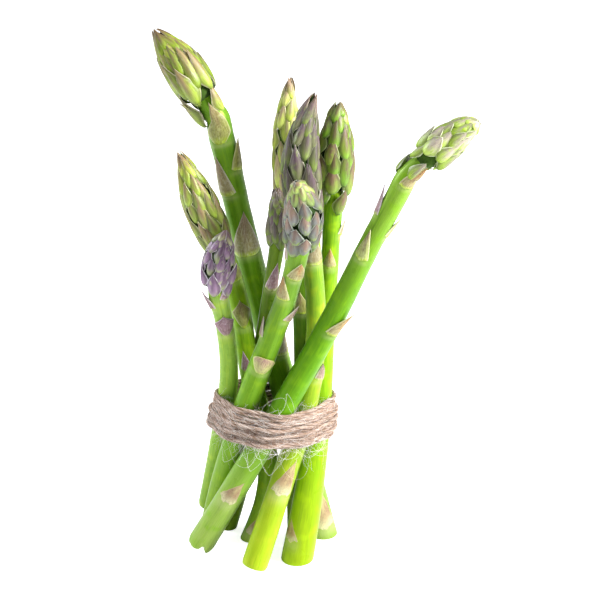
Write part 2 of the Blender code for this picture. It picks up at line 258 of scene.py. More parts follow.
# reading the spears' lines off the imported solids

reading = {
    "step": 2 * mm,
    "smoothing": 6,
    "stemSides": 12,
    "budSides": 10,
    "baseBand": 1.2 * mm,  # how much of a leaf counts as its base
    "leafThickness": 0.6 * mm,
}


def unit(vectors):
    return vectors / np.linalg.norm(vectors, axis=-1, keepdims=True)


def sidesOf(along):
    # the front and the right of a spear that grows this way, for one direction or a row of them
    towards = np.array([0.0, -1.0, 0.0])
    front = unit(towards - np.sum(along * towards, axis=-1, keepdims=True) * along)
    return front, np.cross(along, front)


def nodeTriangles(name):
    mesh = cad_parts[name].data
    mesh.calc_loop_triangles()
    corners = np.array([vertex.co for vertex in mesh.vertices])
    return corners[np.array([triangle.vertices for triangle in mesh.loop_triangles])]


def cutThrough(triangles, place, along):
    # the middle and the area of a solid's section, or None past its end
    heights = (triangles - place) @ along
    points = []
    for i, j in ((0, 1), (1, 2), (2, 0)):
        crossed = heights[:, i] * heights[:, j] < 0
        share = (heights[crossed, i] / (heights[crossed, i] - heights[crossed, j]))[:, None]
        points.append(triangles[crossed, i] * (1 - share) + triangles[crossed, j] * share)
    points = np.concatenate(points)
    if len(points) < 6:
        return None, 0
    front, right = sidesOf(along)
    x, y = (points - place) @ front, (points - place) @ right
    order = np.argsort(np.arctan2(y - y.mean(), x - x.mean()))
    x, y = x[order], y[order]
    nextX, nextY = np.roll(x, -1), np.roll(y, -1)
    cross = x * nextY - nextX * y
    middle = front * ((x + nextX) * cross).sum() + right * ((y + nextY) * cross).sum()
    return place + middle / (3 * cross.sum()), cross.sum() / 2


def traceSolid(name, sides, leastShare):
    # middles and radii of a bent prism's sections, from its lower end to its upper one
    triangles = nodeTriangles(name)
    corners = triangles.reshape(-1, 3)
    main = np.linalg.svd(corners - corners.mean(0), full_matrices=False)[2][0]
    main = main * np.sign(main[2])
    start, startArea = cutThrough(triangles, corners.mean(0), main)
    places, areas = [start], [startArea]
    for way in (-1, 1):
        place, area, ahead = start, startArea, main * way
        while True:
            found, newArea = cutThrough(triangles, place + ahead * reading["step"], ahead)
            if found is None or newArea < leastShare * area:
                break
            ahead = unit(ahead + unit(found - place))
            place, area = found, newArea
            places.append(place)
            areas.append(area)
        places.append(place + ahead * ((corners - place) @ ahead).max())
        areas.append(area if leastShare or way < 0 else 0.0)
        if way < 0:
            places.reverse()
            areas.reverse()
    return np.array(places), np.sqrt(np.array(areas) / (sides / 2 * math.sin(2 * math.pi / sides)))


def smoothed(rows, width):
    # a row of values with its kinks rounded and its ends kept
    pad = 3 * width
    weights = np.exp(-0.5 * (np.arange(-pad, pad + 1) / width) ** 2)
    head = 2 * rows[0] - rows[pad:0:-1]
    tail = 2 * rows[-1] - rows[-2:-pad - 2:-1]
    padded = np.concatenate([head, rows, tail])
    return np.array([np.convolve(column, weights / weights.sum(), "valid") for column in padded.T]).T


def follow(lengths, known, rows):
    return np.stack([np.interp(lengths, known, column) for column in rows.T], -1)


def readSpear(key):
    stem, stemRadii = traceSolid(f"{key}_stem", reading["stemSides"], 0.9)
    bud, budRadii = traceSolid(f"{key}_bud", reading["budSides"], 0.0)
    places, radii = np.concatenate([stem, bud]), np.concatenate([stemRadii, budRadii])
    lengths = np.concatenate([[0.0], np.cumsum(np.linalg.norm(np.diff(places, axis=0), axis=1))])
    even = np.arange(0.0, lengths[-1], mm)
    places = smoothed(follow(even, lengths, places), reading["smoothing"])
    return {
        "key": key,
        "lengths": even,
        "places": places,
        "alongs": unit(np.gradient(places, axis=0)),
        "radii": np.interp(even, lengths, radii),
        "neck": lengths[len(stem) - 1],
        "tip": lengths[-1],
    }


def lineAt(spear, lengths):
    # places, directions and radii at these lengths from the foot
    lengths = np.asarray(lengths, float)
    over = np.clip(lengths - spear["lengths"][-1], 0, None)[..., None]
    alongs = unit(follow(lengths, spear["lengths"], spear["alongs"]))
    places = follow(lengths, spear["lengths"], spear["places"]) + alongs * over
    return places, alongs, np.interp(lengths, spear["lengths"], spear["radii"])


def onSkin(spear, lengths, turns, lifts):
    # places at these lengths and turns from the front, lifted off the skin
    lengths, turns, lifts = np.broadcast_arrays(lengths, turns, lifts)
    places, alongs, radii = lineAt(spear, lengths)
    front, right = sidesOf(alongs)
    out = np.cos(turns)[..., None] * front + np.sin(turns)[..., None] * right
    return places + (radii + lifts)[..., None] * out


def fromLine(spear, corners):
    # the length, the turn and the distance from the line of each corner
    nearest = np.linalg.norm(corners[:, None] - spear["places"][None], axis=2).argmin(1)
    middles, alongs = spear["places"][nearest], spear["alongs"][nearest]
    front, right = sidesOf(alongs)
    away = corners - middles
    side, depth = np.sum(away * right, axis=1), np.sum(away * front, axis=1)
    return spear["lengths"][nearest] + np.sum(away * alongs, axis=1), np.arctan2(side, depth), np.hypot(side, depth)


def turnFrom(turns, middle):
    return (turns - middle + math.pi) % (2 * math.pi) - math.pi


def readLeaf(spear, name):
    lengths, turns, reaches = fromLine(spear, nodeTriangles(name).reshape(-1, 3))
    atBase, atTip = lengths < lengths.min() + reading["baseBand"], lengths.argmax()
    side = math.atan2(np.sin(turns[atBase]).sum(), np.cos(turns[atBase]).sum())
    return {
        "name": name,
        "base": lengths.min(),
        "tip": lengths.max(),
        "side": side,
        "lean": turnFrom(turns[atTip], side),
        "halfWidth": np.abs(turnFrom(turns[atBase], side)).max(),
        "standOff": max(reaches[atTip] - lineAt(spear, lengths[atTip])[2] - reading["leafThickness"], 0.0),
    }


spears = {}
for key in [name[:-5] for name in sorted(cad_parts) if name.endswith("_stem")]:
    spears[key] = readSpear(key)
    leafNames = [name for name in sorted(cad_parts) if name.startswith(f"{key}_leaf_")]
    spears[key]["leaves"] = [readLeaf(spears[key], name) for name in leafNames]
print(f"read {len(spears)} spears and {sum(len(s['leaves']) for s in spears.values())} leaves")

# the stems

stems = {
    "ringStep": 1.4 * mm,
    "sides": 44,
    "intoTip": 11 * mm,
    "deeper": {"tall_left": 24 * mm, "crossing": 20 * mm, "right": 15 * mm},  # where the lowest scales are far apart
    "undulation": 0.10 * mm,
    "rib": 0.02 * mm,
    "ribs": 17,
    "nodeSwell": 0.22 * mm,
    "swellRun": 2.5 * mm,
    "ridge": 0.16 * mm,
    "ridgeRun": 24 * mm,
    "ridgeTurn": 0.075,
    "paperMark": 3.0 * mm,  # how long the pale marks at the leaves are
    "freshMark": 1.2 * mm,
    "thinning": 1.6 * mm,  # off the radius, well inside the head
    "belowFloor": 8 * mm,  # a level foot is grown this far down and cut off at the floor
    "rimRound": 0.35 * mm,
    "endRings": (0.86, 0.6, 0.3),  # the rings inside a cut foot, as shares of its rim
    "hollow": {"square": 0.15 * mm, "torn": 1.5 * mm},
    "tornRun": 7 * mm,
    "sharpFrom": math.radians(55),
    "paperBelow": 45 * mm,  # leaves that start lower down are dry and lie flat
}

# the cut foot, and the skin's colours at the foot, at the middle and at the neck
stemLooks = {
    "tall_left": ("level", (0.26, 0.40, 0.06), (0.105, 0.25, 0.006), (0.13, 0.29, 0.02)),
    "left": ("level", (0.24, 0.42, 0.03), (0.19, 0.38, 0.010), (0.24, 0.42, 0.02)),
    "purple": ("square", (0.26, 0.44, 0.06), (0.25, 0.44, 0.05), (0.29, 0.49, 0.09)),
    "back": ("level", (0.18, 0.31, 0.02), (0.07, 0.165, 0.008), (0.09, 0.19, 0.012)),
    "centre": ("square", (0.37, 0.52, 0.015), (0.24, 0.38, 0.02), (0.18, 0.37, 0.03)),
    "right": ("level", (0.30, 0.44, 0.006), (0.22, 0.43, 0.008), (0.15, 0.31, 0.012)),
    "nodding": ("square", (0.24, 0.39, 0.03), (0.14, 0.32, 0.012), (0.17, 0.34, 0.04)),
    "crossing": ("torn", (0.32, 0.46, 0.09), (0.105, 0.295, 0.004), (0.23, 0.41, 0.04)),
    "short": ("level", (0.18, 0.29, 0.02), (0.08, 0.165, 0.008), (0.10, 0.18, 0.012)),
}


def isPaper(spear, leaf):
    return lineAt(spear, leaf["base"])[0][2] < stems["paperBelow"]


def bell(value, width):
    return np.exp(-((value / width) ** 2))


def stemMarks(spear, lengths, turns):
    # the lift off the plain skin, the dark ridges over leaf tips and the pale marks at leaf bases
    phase = sum(ord(letter) for letter in spear["key"])
    waves = np.sin(2 * turns + 35 * lengths + phase) * np.sin(60 * lengths + 2 * phase)
    lift = stems["undulation"] * waves + stems["rib"] * np.sin(stems["ribs"] * turns + 3 * np.sin(50 * lengths + phase))
    ridge, mark = np.zeros_like(lift), np.zeros_like(lift)
    for leaf in spear["leaves"]:
        paper = isPaper(spear, leaf)
        fromSide = turnFrom(turns, leaf["side"])
        beside = np.exp(-((np.abs(fromSide) / (leaf["halfWidth"] * 1.1)) ** 4))
        if not paper:
            lift += stems["nodeSwell"] * bell(lengths - leaf["base"], stems["swellRun"]) * (0.3 + 0.7 * beside)
            past = (lengths - leaf["tip"]) / stems["ridgeRun"]
            fade = np.clip(1 - past, 0, 1) * np.clip((past + 0.15) * 8, 0, 1)
            line = bell(turnFrom(turns, leaf["side"] + leaf["lean"]), stems["ridgeTurn"]) * fade
            lift += stems["ridge"] * line
            ridge = np.maximum(ridge, line)
        reach = stems["paperMark"] if paper else stems["freshMark"]
        mark = np.maximum(mark, beside * bell(lengths - leaf["base"] + 0.3 * reach, reach))
    return lift, ridge, mark


def tornEnd(turns):
    # a rounded lobe on the left, a notch in front and one tooth right of it
    notch = 3.4 * bell(turnFrom(turns, 0.15), 0.30) + 2.0 * bell(turnFrom(turns, 1.30), 0.35)
    tooth = -1.9 * bell(turnFrom(turns, 0.66), 0.20)
    return (notch + tooth + 0.20 * np.sin(11 * turns) + 0.12 * np.sin(19 * turns + 1)) * mm


def addValues(mesh, **values):
    for name, rows in values.items():
        rows = np.asarray(rows, np.float32)
        kind, slot = ("FLOAT_VECTOR", "vector") if rows.shape[-1] == 3 and rows.ndim > 1 else ("FLOAT", "value")
        mesh.attributes.new(name, kind, "POINT").data.foreach_set(slot, rows.ravel())


def tubeFaces(rings, sides, first=0):
    faces = []
    for ring in range(rings - 1):
        low, high = first + ring * sides, first + (ring + 1) * sides
        for i in range(sides):
            j = (i + 1) % sides
            faces.append((low + i, low + j, high + j, high + i))
    return faces


def addPiece(name, mesh, nodes, materials):
    for material in materials:
        mesh.materials.append(material)
    mesh.shade_smooth()
    mesh.set_sharp_from_angle(angle=stems["sharpFrom"])
    piece = bpy.data.objects.new(name, mesh)
    scene.collection.objects.link(piece)
    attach(piece, "root")
    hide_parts(*nodes)
    return piece


def stemRadius(spear, lengths):
    # the stem keeps its girth past the neck and only thins well inside the head
    intoTip = stems["deeper"].get(spear["key"], stems["intoTip"])
    inTip = np.clip((lengths - spear["neck"]) / intoTip, 0, 1)
    return lineAt(spear, np.clip(lengths, 0, spear["neck"]))[2] - inTip ** 2 * stems["thinning"]


def faceOutwards(mesh, cutLevel=False):
    bm = bmesh.new()
    bm.from_mesh(mesh)
    if cutLevel:
        everything = bm.verts[:] + bm.edges[:] + bm.faces[:]
        cut = bmesh.ops.bisect_plane(bm, geom=everything, plane_co=(0, 0, 0), plane_no=(0, 0, 1), clear_inner=True)
        edges = [item for item in cut["geom_cut"] if isinstance(item, bmesh.types.BMEdge)]
        for face in bmesh.ops.contextual_create(bm, geom=edges)["faces"]:
            face.material_index = 1
    bmesh.ops.recalc_face_normals(bm, faces=bm.faces[:])
    bm.to_mesh(mesh)
    bm.free()


def makeStem(spear):
    foot, sides = stemLooks[spear["key"]][0], stems["sides"]
    start = -stems["belowFloor"] if foot == "level" else 0.0
    end = spear["neck"] + stems["deeper"].get(spear["key"], stems["intoTip"])
    rings = round((end - start) / stems["ringStep"])
    ringLengths = np.linspace(start, end, rings)
    lengths, turns = np.meshgrid(ringLengths, np.arange(sides) * 2 * math.pi / sides, indexing="ij")
    lift, ridge, mark = stemMarks(spear, lengths, turns)
    radii = lineAt(spear, np.clip(lengths, 0, spear["neck"]))[2]
    lift += stemRadius(spear, lengths) - lineAt(spear, lengths)[2]
    if foot == "torn":
        lengths = lengths + tornEnd(turns) * np.clip(1 - lengths / stems["tornRun"], 0, 1) ** 2
    if foot != "level":
        lift -= stems["rimRound"] * bell(ringLengths[:, None], 0.5 * mm)
    corners = [onSkin(spear, lengths, turns, lift).reshape(-1, 3)]
    grown = [np.stack([np.cos(turns) * radii, np.sin(turns) * radii, lengths], -1).reshape(-1, 3)]
    faces = tubeFaces(rings, sides)
    faces.append(tuple(range((rings - 1) * sides, rings * sides)))
    flesh = len(faces)
    if foot != "level":
        # the cut end, as rings that run in to the middle, a little hollow
        for share in stems["endRings"]:
            depth = stems["rimRound"] + stems["hollow"][foot] * (1 - share)
            run = depth + (tornEnd(turns[0]) * share if foot == "torn" else np.zeros(sides))
            corners.append(onSkin(spear, run, turns[0], (share - 1) * radii[0]))
            grown.append(np.stack([*(grown[0][:sides, :2] * share).T, run], -1))
        rim, inmost = rings * sides, (rings + len(stems["endRings"]) - 1) * sides
        faces += [((i + 1) % sides, i, rim + (i + 1) % sides, rim + i) for i in range(sides)]
        faces += [face[::-1] for face in tubeFaces(len(stems["endRings"]), sides, rim)]
        faces.append(tuple(range(inmost, inmost + sides)))
    mesh = bpy.data.meshes.new(f"{spear['key']}_stem_skin")
    mesh.from_pydata(np.concatenate(corners), [], faces)
    values = {"foot": lengths / spear["neck"], "ridge": ridge, "leafMark": mark}
    spare = np.zeros(len(mesh.vertices) - lengths.size)
    values = {name: np.concatenate([rows.ravel(), spare]) for name, rows in values.items()}
    addValues(mesh, grown=np.concatenate(grown), **values)
    for face in mesh.polygons[flesh:]:
        face.material_index = 1
    faceOutwards(mesh, foot == "level")
    return mesh


def stemSkin(key):
    _, foot, middle, neck = stemLooks[key]
    material, tree, shader = newMaterial(f"{key}_skin")
    grown, share = attribute(tree, "grown", "Vector"), attribute(tree, "foot")
    streak, fine = streaked(grown, 0.45 * mm, 20.0), streaked(grown, 0.2 * mm, 50.0)
    cloud = streak.other("Cloud")
    lime = tuple(min(1.0, channel * gain) for channel, gain in zip(middle, (1.9, 1.45, 1.2)))
    dark = tuple(channel * 0.45 for channel in middle)
    colour = painted(
        foot,
        (share, 0.02, 0.42, 1.0, middle),
        (share, 0.60, 1.0, 1.0, neck),
        (cloud, 0.50, 0.72, 0.50, lime),
        (streak, 0.50, 0.72, 0.40, lime),
    )
    deep = mixed(1.0, colour, (0.62, 0.74, 0.6), "MULTIPLY")
    colour = painted(colour, (fine, 0.48, 0.30, 0.55, deep), (streak, 0.46, 0.28, 0.55, deep))
    colour = mixed(attribute(tree, "ridge") * 0.55, colour, dark)
    fill(shader, {
        "Base Color": mixed(attribute(tree, "leafMark") * 0.28, colour, (0.62, 0.60, 0.34)),
        "Roughness": between(cloud, 0.3, 0.7, 0.27, 0.38),
        "Normal": bumped(streak, 0.35, 0.06 * mm),
        "Specular IOR Level": 0.4,
        "Specular Tint": (0.72, 1.0, 0.18),
        "Subsurface Weight": 0.06,
        "Subsurface Radius": (0.6, 1.0, 0.15),
        "Subsurface Scale": 1.5 * mm,
        "Sheen Weight": 0.03,
        "Sheen Tint": (0.72, 0.85, 1.0),
    })
    return material


def buildCutFlesh():
    material, tree, shader = newMaterial("cutFlesh")
    grown = attribute(tree, "grown", "Vector")
    flat = node("ShaderNodeVectorMath", {0: grown, 1: (1, 1, 0)}, operation="MULTIPLY")
    cells = node("ShaderNodeTexVoronoi", {"Vector": flat, "Scale": 1 / (1.1 * mm)}, "Distance")
    dots = between(cells, 0.16, 0.30, 1.0, 0.0)
    rim = between(combine("LENGTH", flat), 3.2 * mm, 4.6 * mm)
    colour = mixed(rim, (0.66, 0.74, 0.36), (0.40, 0.56, 0.12))
    fill(shader, {
        "Base Color": mixed(dots * 0.6, colour, (0.30, 0.36, 0.10)),
        "Roughness": 0.5,
        "Normal": bumped(dots, 0.4, 0.1 * mm),
    })
    return material


cutFlesh = buildCutFlesh()
for key, spear in spears.items():
    addPiece(f"{key}_stem_skin", makeStem(spear), [f"{key}_stem"], [stemSkin(key), cutFlesh])
print("stems are grown")

# the leaves along the stems

leafForm = {
    "across": 16,
    "along": 24,
    "shelf": 0.50 * mm,  # how far a fresh leaf's lower edge stands off the skin
    "paperLift": 0.14 * mm,
    "edge": 0.10 * mm,
    "sink": 0.18 * mm,
    "rise": 1.3 * mm,  # how much higher the lower edge runs at its two ends
    "bulge": 0.30 * mm,
    "kiteLift": 1.9 * mm,
    "thick": 0.35 * mm,  # at the middle of the lower edge
}

# the colours of the lower edge, the body, the tip and the margins
leafColours = {
    "paper": ((0.62, 0.60, 0.34), (0.36, 0.23, 0.12), (0.50, 0.42, 0.20), (0.46, 0.38, 0.20)),
    "taupe": ((0.46, 0.60, 0.06), (0.32, 0.28, 0.13), (0.25, 0.16, 0.10), (0.56, 0.54, 0.42)),
    "purple": ((0.42, 0.52, 0.12), (0.31, 0.18, 0.20), (0.21, 0.11, 0.15), (0.62, 0.52, 0.54)),
    "olive": ((0.42, 0.56, 0.03), (0.27, 0.28, 0.06), (0.24, 0.16, 0.07), (0.48, 0.50, 0.22)),
    "orange": ((0.46, 0.62, 0.04), (0.38, 0.33, 0.14), (0.42, 0.18, 0.04), (0.56, 0.56, 0.30)),
    "cream": ((0.46, 0.64, 0.03), (0.40, 0.46, 0.13), (0.27, 0.16, 0.11), (0.58, 0.60, 0.34)),
    "stub": ((0.46, 0.58, 0.06), (0.46, 0.46, 0.17), (0.42, 0.25, 0.20), (0.54, 0.60, 0.18)),
    "mauve": ((0.46, 0.62, 0.08), (0.35, 0.25, 0.18), (0.24, 0.13, 0.13), (0.58, 0.54, 0.44)),
}

# each leaf's colours by stem and number, and its shape where that isn't the plain one
leafLooks = {
    "tall_left": {2: "taupe", 3: "taupe", 4: "taupe", 5: "taupe", 6: "olive", 7: "olive kite", 8: "olive"},
    "left": {2: "purple", 3: "olive diamond", 4: "olive", 5: "olive"},
    "purple": {1: "purple diamond", 2: "purple", 3: "purple"},
    "back": {1: "olive", 2: "olive"},
    "centre": {2: "mauve", 3: "taupe"},
    "right": {2: "orange", 3: "taupe"},
    "nodding": {1: "stub stub", 2: "mauve", 3: "mauve", 4: "mauve", 5: "orange", 6: "orange", 7: "mauve"},
    "crossing": {2: "orange", 3: "mauve", 4: "cream", 5: "cream", 6: "purple", 7: "orange"},
    "short": {1: "purple"},
}


def leafOutline(along, form):
    # half the width for each height, as a share of the widest
    if form == "diamond":
        return np.where(along < 0.6, 0.06 + 0.94 * (along / 0.6) ** 0.8, np.clip((1 - along) / 0.4, 0, 1) ** 1.5)
    if form == "kite":
        return np.where(along < 0.2, 0.30 + 0.70 * (along / 0.2) ** 0.8, ((1 - along) / 0.8) ** 1.1)
    if form == "stub":
        return np.where(along < 0.7, 0.15 + 0.85 * (along / 0.7) ** 0.6, np.clip((1 - along) / 0.3, 0, 1) ** 0.35)
    return (1 - along) ** 1.15 * (1 + 0.40 * along)


def leafShell(spear, leaf):
    # corners, faces and values of one leaf, a thin closed shell that lies round the stem
    paper = isPaper(spear, leaf)
    number = int(leaf["name"].rpartition("_")[2])
    look = "paper" if paper else leafLooks[spear["key"]][number]
    colours, _, form = look.partition(" ")
    across = np.linspace(-1, 1, leafForm["across"] + 1)
    along = np.linspace(0, 1, leafForm["along"] + 1) ** 1.1
    v, u = np.meshgrid(along, across, indexing="ij")
    phase = leaf["base"] * 900
    uneven = 0.03 * np.sin(9 * v + phase)
    if paper:
        uneven = 0.09 * np.sin(11 * v + phase + 2 * (u > 0)) + 0.04 * np.sin(27 * v + 2 * phase)
    outline = leafOutline(v, form) * (1 + uneven * v)
    turns = leaf["side"] + leaf["lean"] * v ** 1.3 + leaf["halfWidth"] * outline * u
    rise = 0.0 if form else leafForm["rise"] * (1.2 if paper else 1.0)
    lengths = leaf["base"] + (leaf["tip"] - leaf["base"]) * v + rise * np.abs(u) ** 1.7 * (1 - v) ** 2
    lengths += (0.5 if paper else 0.15) * mm * np.sin(7 * u + phase) * (1 - v) ** 3
    wave = np.sin(6 * u + 3 * v + phase) * v * (1 - v)
    away = leaf["standOff"] * v ** 1.7
    if paper:
        lengths += 0.25 * mm * np.sin(19 * u + 2 * phase) * (1 - v) ** 6
        arch = (1 - np.abs(u) ** 4) * (0.4 + 0.6 * np.sin(math.pi * v ** 0.7))
        outer = leafForm["edge"] * 0.5 + leafForm["paperLift"] * arch + 0.08 * mm * wave
    else:
        body = 1 - np.abs(u) ** 2.6
        swell = np.clip(v / 0.04, 0, 1) ** 0.5 * (1 - 0.45 * v)
        outer = leafForm["edge"] + leafForm["shelf"] * swell * (0.35 + 0.65 * body)
        outer += leafForm["bulge"] * np.sin(math.pi * v ** 0.8) * body + 0.12 * mm * wave
        outer += away + (leafForm["kiteLift"] * v ** 2 if form == "kite" else 0.0)
    thick = leafForm["edge"] * 0.6 + leafForm["thick"] * (1 - v) * (1 - u ** 2)
    inner = np.minimum(outer - thick, away - leafForm["sink"] * (1 - v ** 3))
    higher = np.maximum(stemRadius(spear, lengths) - lineAt(spear, lengths)[2], 0)
    corners = [onSkin(spear, lengths, turns, lift + higher).reshape(-1, 3) for lift in (outer, inner)]
    rows, columns = v.shape
    count = rows * columns
    faces = []
    for i in range(rows - 1):
        for j in range(columns - 1):
            a, b = i * columns + j, i * columns + j + 1
            c, d = b + columns, a + columns
            faces += [(a, b, c, d), (count + d, count + c, count + b, count + a)]
    # and the margin, once round from the lower edge
    edge = [*range(columns), *range(2 * columns - 1, count, columns)]
    edge += [*range(count - 2, count - columns - 1, -1), *range(count - 2 * columns, 0, -columns)]
    faces += [(b, a, count + a, count + b) for a, b in zip(edge, edge[1:] + edge[:1])]
    radius = lineAt(spear, leaf["base"])[2]
    values = {
        "leafAlong": v,
        "leafAcross": u,
        "leafDry": np.full_like(v, float(paper)),
        "grown": np.stack([leaf["halfWidth"] * u * radius, np.full_like(u, leaf["side"] * radius), lengths], -1),
    }
    for name, colour in zip(("leafBase", "leafBody", "leafTip", "leafMargin"), leafColours[colours]):
        values[name] = np.broadcast_to(colour, v.shape + (3,))
    rowsOf = {name: np.tile(rows.reshape(count, -1), (2, 1)) for name, rows in values.items()}
    return np.concatenate(corners), faces, rowsOf


def makeLeaves(spear):
    corners, faces, values = [], [], {}
    for leaf in spear["leaves"]:
        first = sum(len(part) for part in corners)
        part, partFaces, partValues = leafShell(spear, leaf)
        corners.append(part)
        faces += [tuple(first + i for i in face) for face in partFaces]
        for name, rows in partValues.items():
            values.setdefault(name, []).append(rows)
    mesh = bpy.data.meshes.new(f"{spear['key']}_leaf_skin")
    mesh.from_pydata(np.concatenate(corners), [], faces)
    addValues(mesh, **{name: np.concatenate(rows).squeeze() for name, rows in values.items()})
    faceOutwards(mesh)
    return mesh


def buildLeafSkin():
    material, tree, shader = newMaterial("leafSkin")
    grown = attribute(tree, "grown", "Vector")
    streak, blotches = streaked(grown, 0.22 * mm, 16.0), noise(grown, 900.0, 3.0)
    along, across = attribute(tree, "leafAlong"), combine("ABSOLUTE", attribute(tree, "leafAcross"))
    dry = attribute(tree, "leafDry")
    base, body, tip, rim = [attribute(tree, f"leaf{part}", "Color") for part in ("Base", "Body", "Tip", "Margin")]
    wander = streak * 0.6 - 0.3
    ragged = (blotches - 0.5) * (dry * 0.30 + 0.06) + wander * (dry * 0.55)
    colour = painted(
        base,
        (along + ragged, 0.03, dry * 0.24 + 0.17, 1.0, body),
        (along + wander, 0.40, 0.95, 0.9, tip),
    )
    middle = between(wander * 0.6 + across, 0.02, 0.45, 0.7, 0.0) * between(along, 0.15, 0.6)
    colour = painted(mixed(middle, colour, tip), (streak, 0.52, 0.70, 0.60, rim))
    dark = mixed(1.0, colour, (0.42, 0.36, 0.34), "MULTIPLY")
    colour = painted(
        colour,
        (streak, 0.47, 0.30, 0.75, dark),
        (blotches, 0.50, 0.34, 0.45, dark),
        (blotches, 0.55, 0.70, 0.30, rim),
    )
    margin = between(wander * 0.35 + across, 0.80, 0.96, 0.0, 0.9) * (dry * -0.4 + 1.0)
    fill(shader, {
        "Base Color": mixed(margin, colour, rim),
        "Roughness": dry * 0.25 + 0.45,
        "Normal": bumped(streak, 0.6, 0.10 * mm),
        "Subsurface Weight": 0.05,
        "Subsurface Radius": (1.0, 0.8, 0.4),
        "Subsurface Scale": 0.8 * mm,
        "Sheen Weight": 0.05,
    })
    return material


leafSkin = buildLeafSkin()
for key, spear in spears.items():
    leafNodes = [leaf["name"] for leaf in spear["leaves"]]
    addPiece(f"{key}_leaf_skin", makeLeaves(spear), leafNodes, [leafSkin])
print("leaves are on")

# the heads, scale upon scale round the end of each stem

# how many scales, their length low and high in mm, their width, how far the lowest lean out, how pointed they are,
# how much wider and how much blunter than the solid the head is, the shares of the way up where its scales start and
# end, how brown its tip is, the share where its crown starts, how far up in mm its dark core stays thin, the colours
# of a scale's base, body, tip and margins and of the crown, and the loose scales below the head
heads = {
    "tall_left": {
        "scales": 44, "lengths": (18, 11), "width": 8.0, "leanOut": 0.06, "point": 1.15, "wider": 1.20,
        "blunter": 0.90, "lowest": 0.28, "highest": 0.80, "brown": 0.8, "crown": 0.72, "bare": 15,
        "bracts": {
            "scales": 4, "lengths": (14, 13), "width": 8.5, "leanOut": 0.10, "lowest": 0.02, "highest": 0.26, "seed": 3,
        },
        "colours": (
            (0.36, 0.53, 0.02), (0.32, 0.42, 0.05), (0.26, 0.18, 0.08),
            (0.50, 0.46, 0.32), (0.38, 0.46, 0.04),
        ),
    },
    "left": {
        "scales": 42, "lengths": (16, 12), "width": 6.8, "leanOut": 0.01, "point": 1.25, "wider": 1.02,
        "blunter": 0.92, "lowest": 0.02, "highest": 0.80, "brown": 0.6, "crown": 0.70,
        "colours": (
            (0.42, 0.60, 0.05), (0.34, 0.44, 0.065), (0.29, 0.18, 0.10),
            (0.62, 0.66, 0.36), (0.50, 0.58, 0.06),
        ),
    },
    "purple": {
        "scales": 38, "lengths": (11, 9), "width": 6.2, "leanOut": 0.05, "point": 0.95, "wider": 1.08,
        "blunter": 0.82, "lowest": 0.02, "highest": 0.88, "brown": 0.3, "crown": 0.80,
        "colours": (
            (0.48, 0.54, 0.27), (0.31, 0.19, 0.31), (0.16, 0.08, 0.16),
            (0.78, 0.73, 0.80), (0.46, 0.46, 0.22),
        ),
    },
    "back": {
        "scales": 42, "lengths": (15, 11), "width": 7.0, "leanOut": 0.01, "point": 1.05, "wider": 0.94,
        "blunter": 0.82, "lowest": 0.02, "highest": 0.86, "brown": 0.8, "crown": 0.85,
        "colours": (
            (0.68, 0.86, 0.10), (0.68, 0.80, 0.17), (0.50, 0.36, 0.23),
            (0.74, 0.74, 0.40), (0.54, 0.54, 0.17),
        ),
    },
    "centre": {
        "scales": 44, "lengths": (17, 14), "width": 7.4, "leanOut": 0.01, "point": 1.3, "wider": 1.06,
        "blunter": 0.92, "lowest": 0.02, "highest": 0.84, "brown": 0.5, "crown": 0.95,
        "colours": (
            (0.23, 0.33, 0.05), (0.15, 0.155, 0.07), (0.11, 0.065, 0.09),
            (0.44, 0.42, 0.33), (0.15, 0.10, 0.08),
        ),
    },
    "right": {
        "scales": 42, "lengths": (15, 11), "width": 7.8, "leanOut": 0.03, "point": 0.95, "wider": 1.06,
        "blunter": 0.66, "lowest": 0.12, "highest": 0.88, "brown": 0.1, "crown": 0.80, "bare": 5,
        "bracts": {
            "scales": 4, "lengths": (11, 11), "width": 6.5, "leanOut": 0.12, "lowest": 0.0, "highest": 0.14, "seed": 4,
        },
        "colours": (
            (0.20, 0.42, 0.01), (0.20, 0.28, 0.03), (0.16, 0.085, 0.06),
            (0.38, 0.46, 0.20), (0.28, 0.42, 0.03),
        ),
    },
    "nodding": {
        "scales": 46, "lengths": (10.5, 8.5), "width": 7.0, "leanOut": 0.05, "point": 0.8, "wider": 1.02,
        "blunter": 0.66, "lowest": 0.02, "highest": 0.96, "brown": 0.0, "crown": 0.62,
        "colours": (
            (0.32, 0.46, 0.11), (0.19, 0.20, 0.19), (0.23, 0.14, 0.10),
            (0.54, 0.62, 0.50), (0.44, 0.58, 0.10),
        ),
    },
    "crossing": {
        "scales": 42, "lengths": (10.5, 8), "width": 7.4, "leanOut": 0.12, "point": 0.75, "wider": 1.08,
        "blunter": 0.36, "lowest": 0.36, "highest": 0.92, "brown": 0.0, "crown": 0.90, "bare": 11,
        "bracts": {
            "scales": 5, "lengths": (10, 11), "width": 7.0, "leanOut": 0.12, "lowest": 0.05, "highest": 0.34, "seed": 6,
        },
        "colours": (
            (0.42, 0.66, 0.02), (0.44, 0.60, 0.10), (0.42, 0.35, 0.30),
            (0.66, 0.74, 0.46), (0.60, 0.74, 0.18),
        ),
    },
    "short": {
        "scales": 38, "lengths": (13, 10), "width": 6.0, "leanOut": 0.02, "point": 1.1, "wider": 1.02,
        "blunter": 0.85, "lowest": 0.02, "highest": 0.84, "brown": 0.4, "crown": 0.95,
        "colours": (
            (0.22, 0.34, 0.03), (0.17, 0.16, 0.09), (0.11, 0.07, 0.08),
            (0.42, 0.40, 0.36), (0.16, 0.15, 0.08),
        ),
    },
}

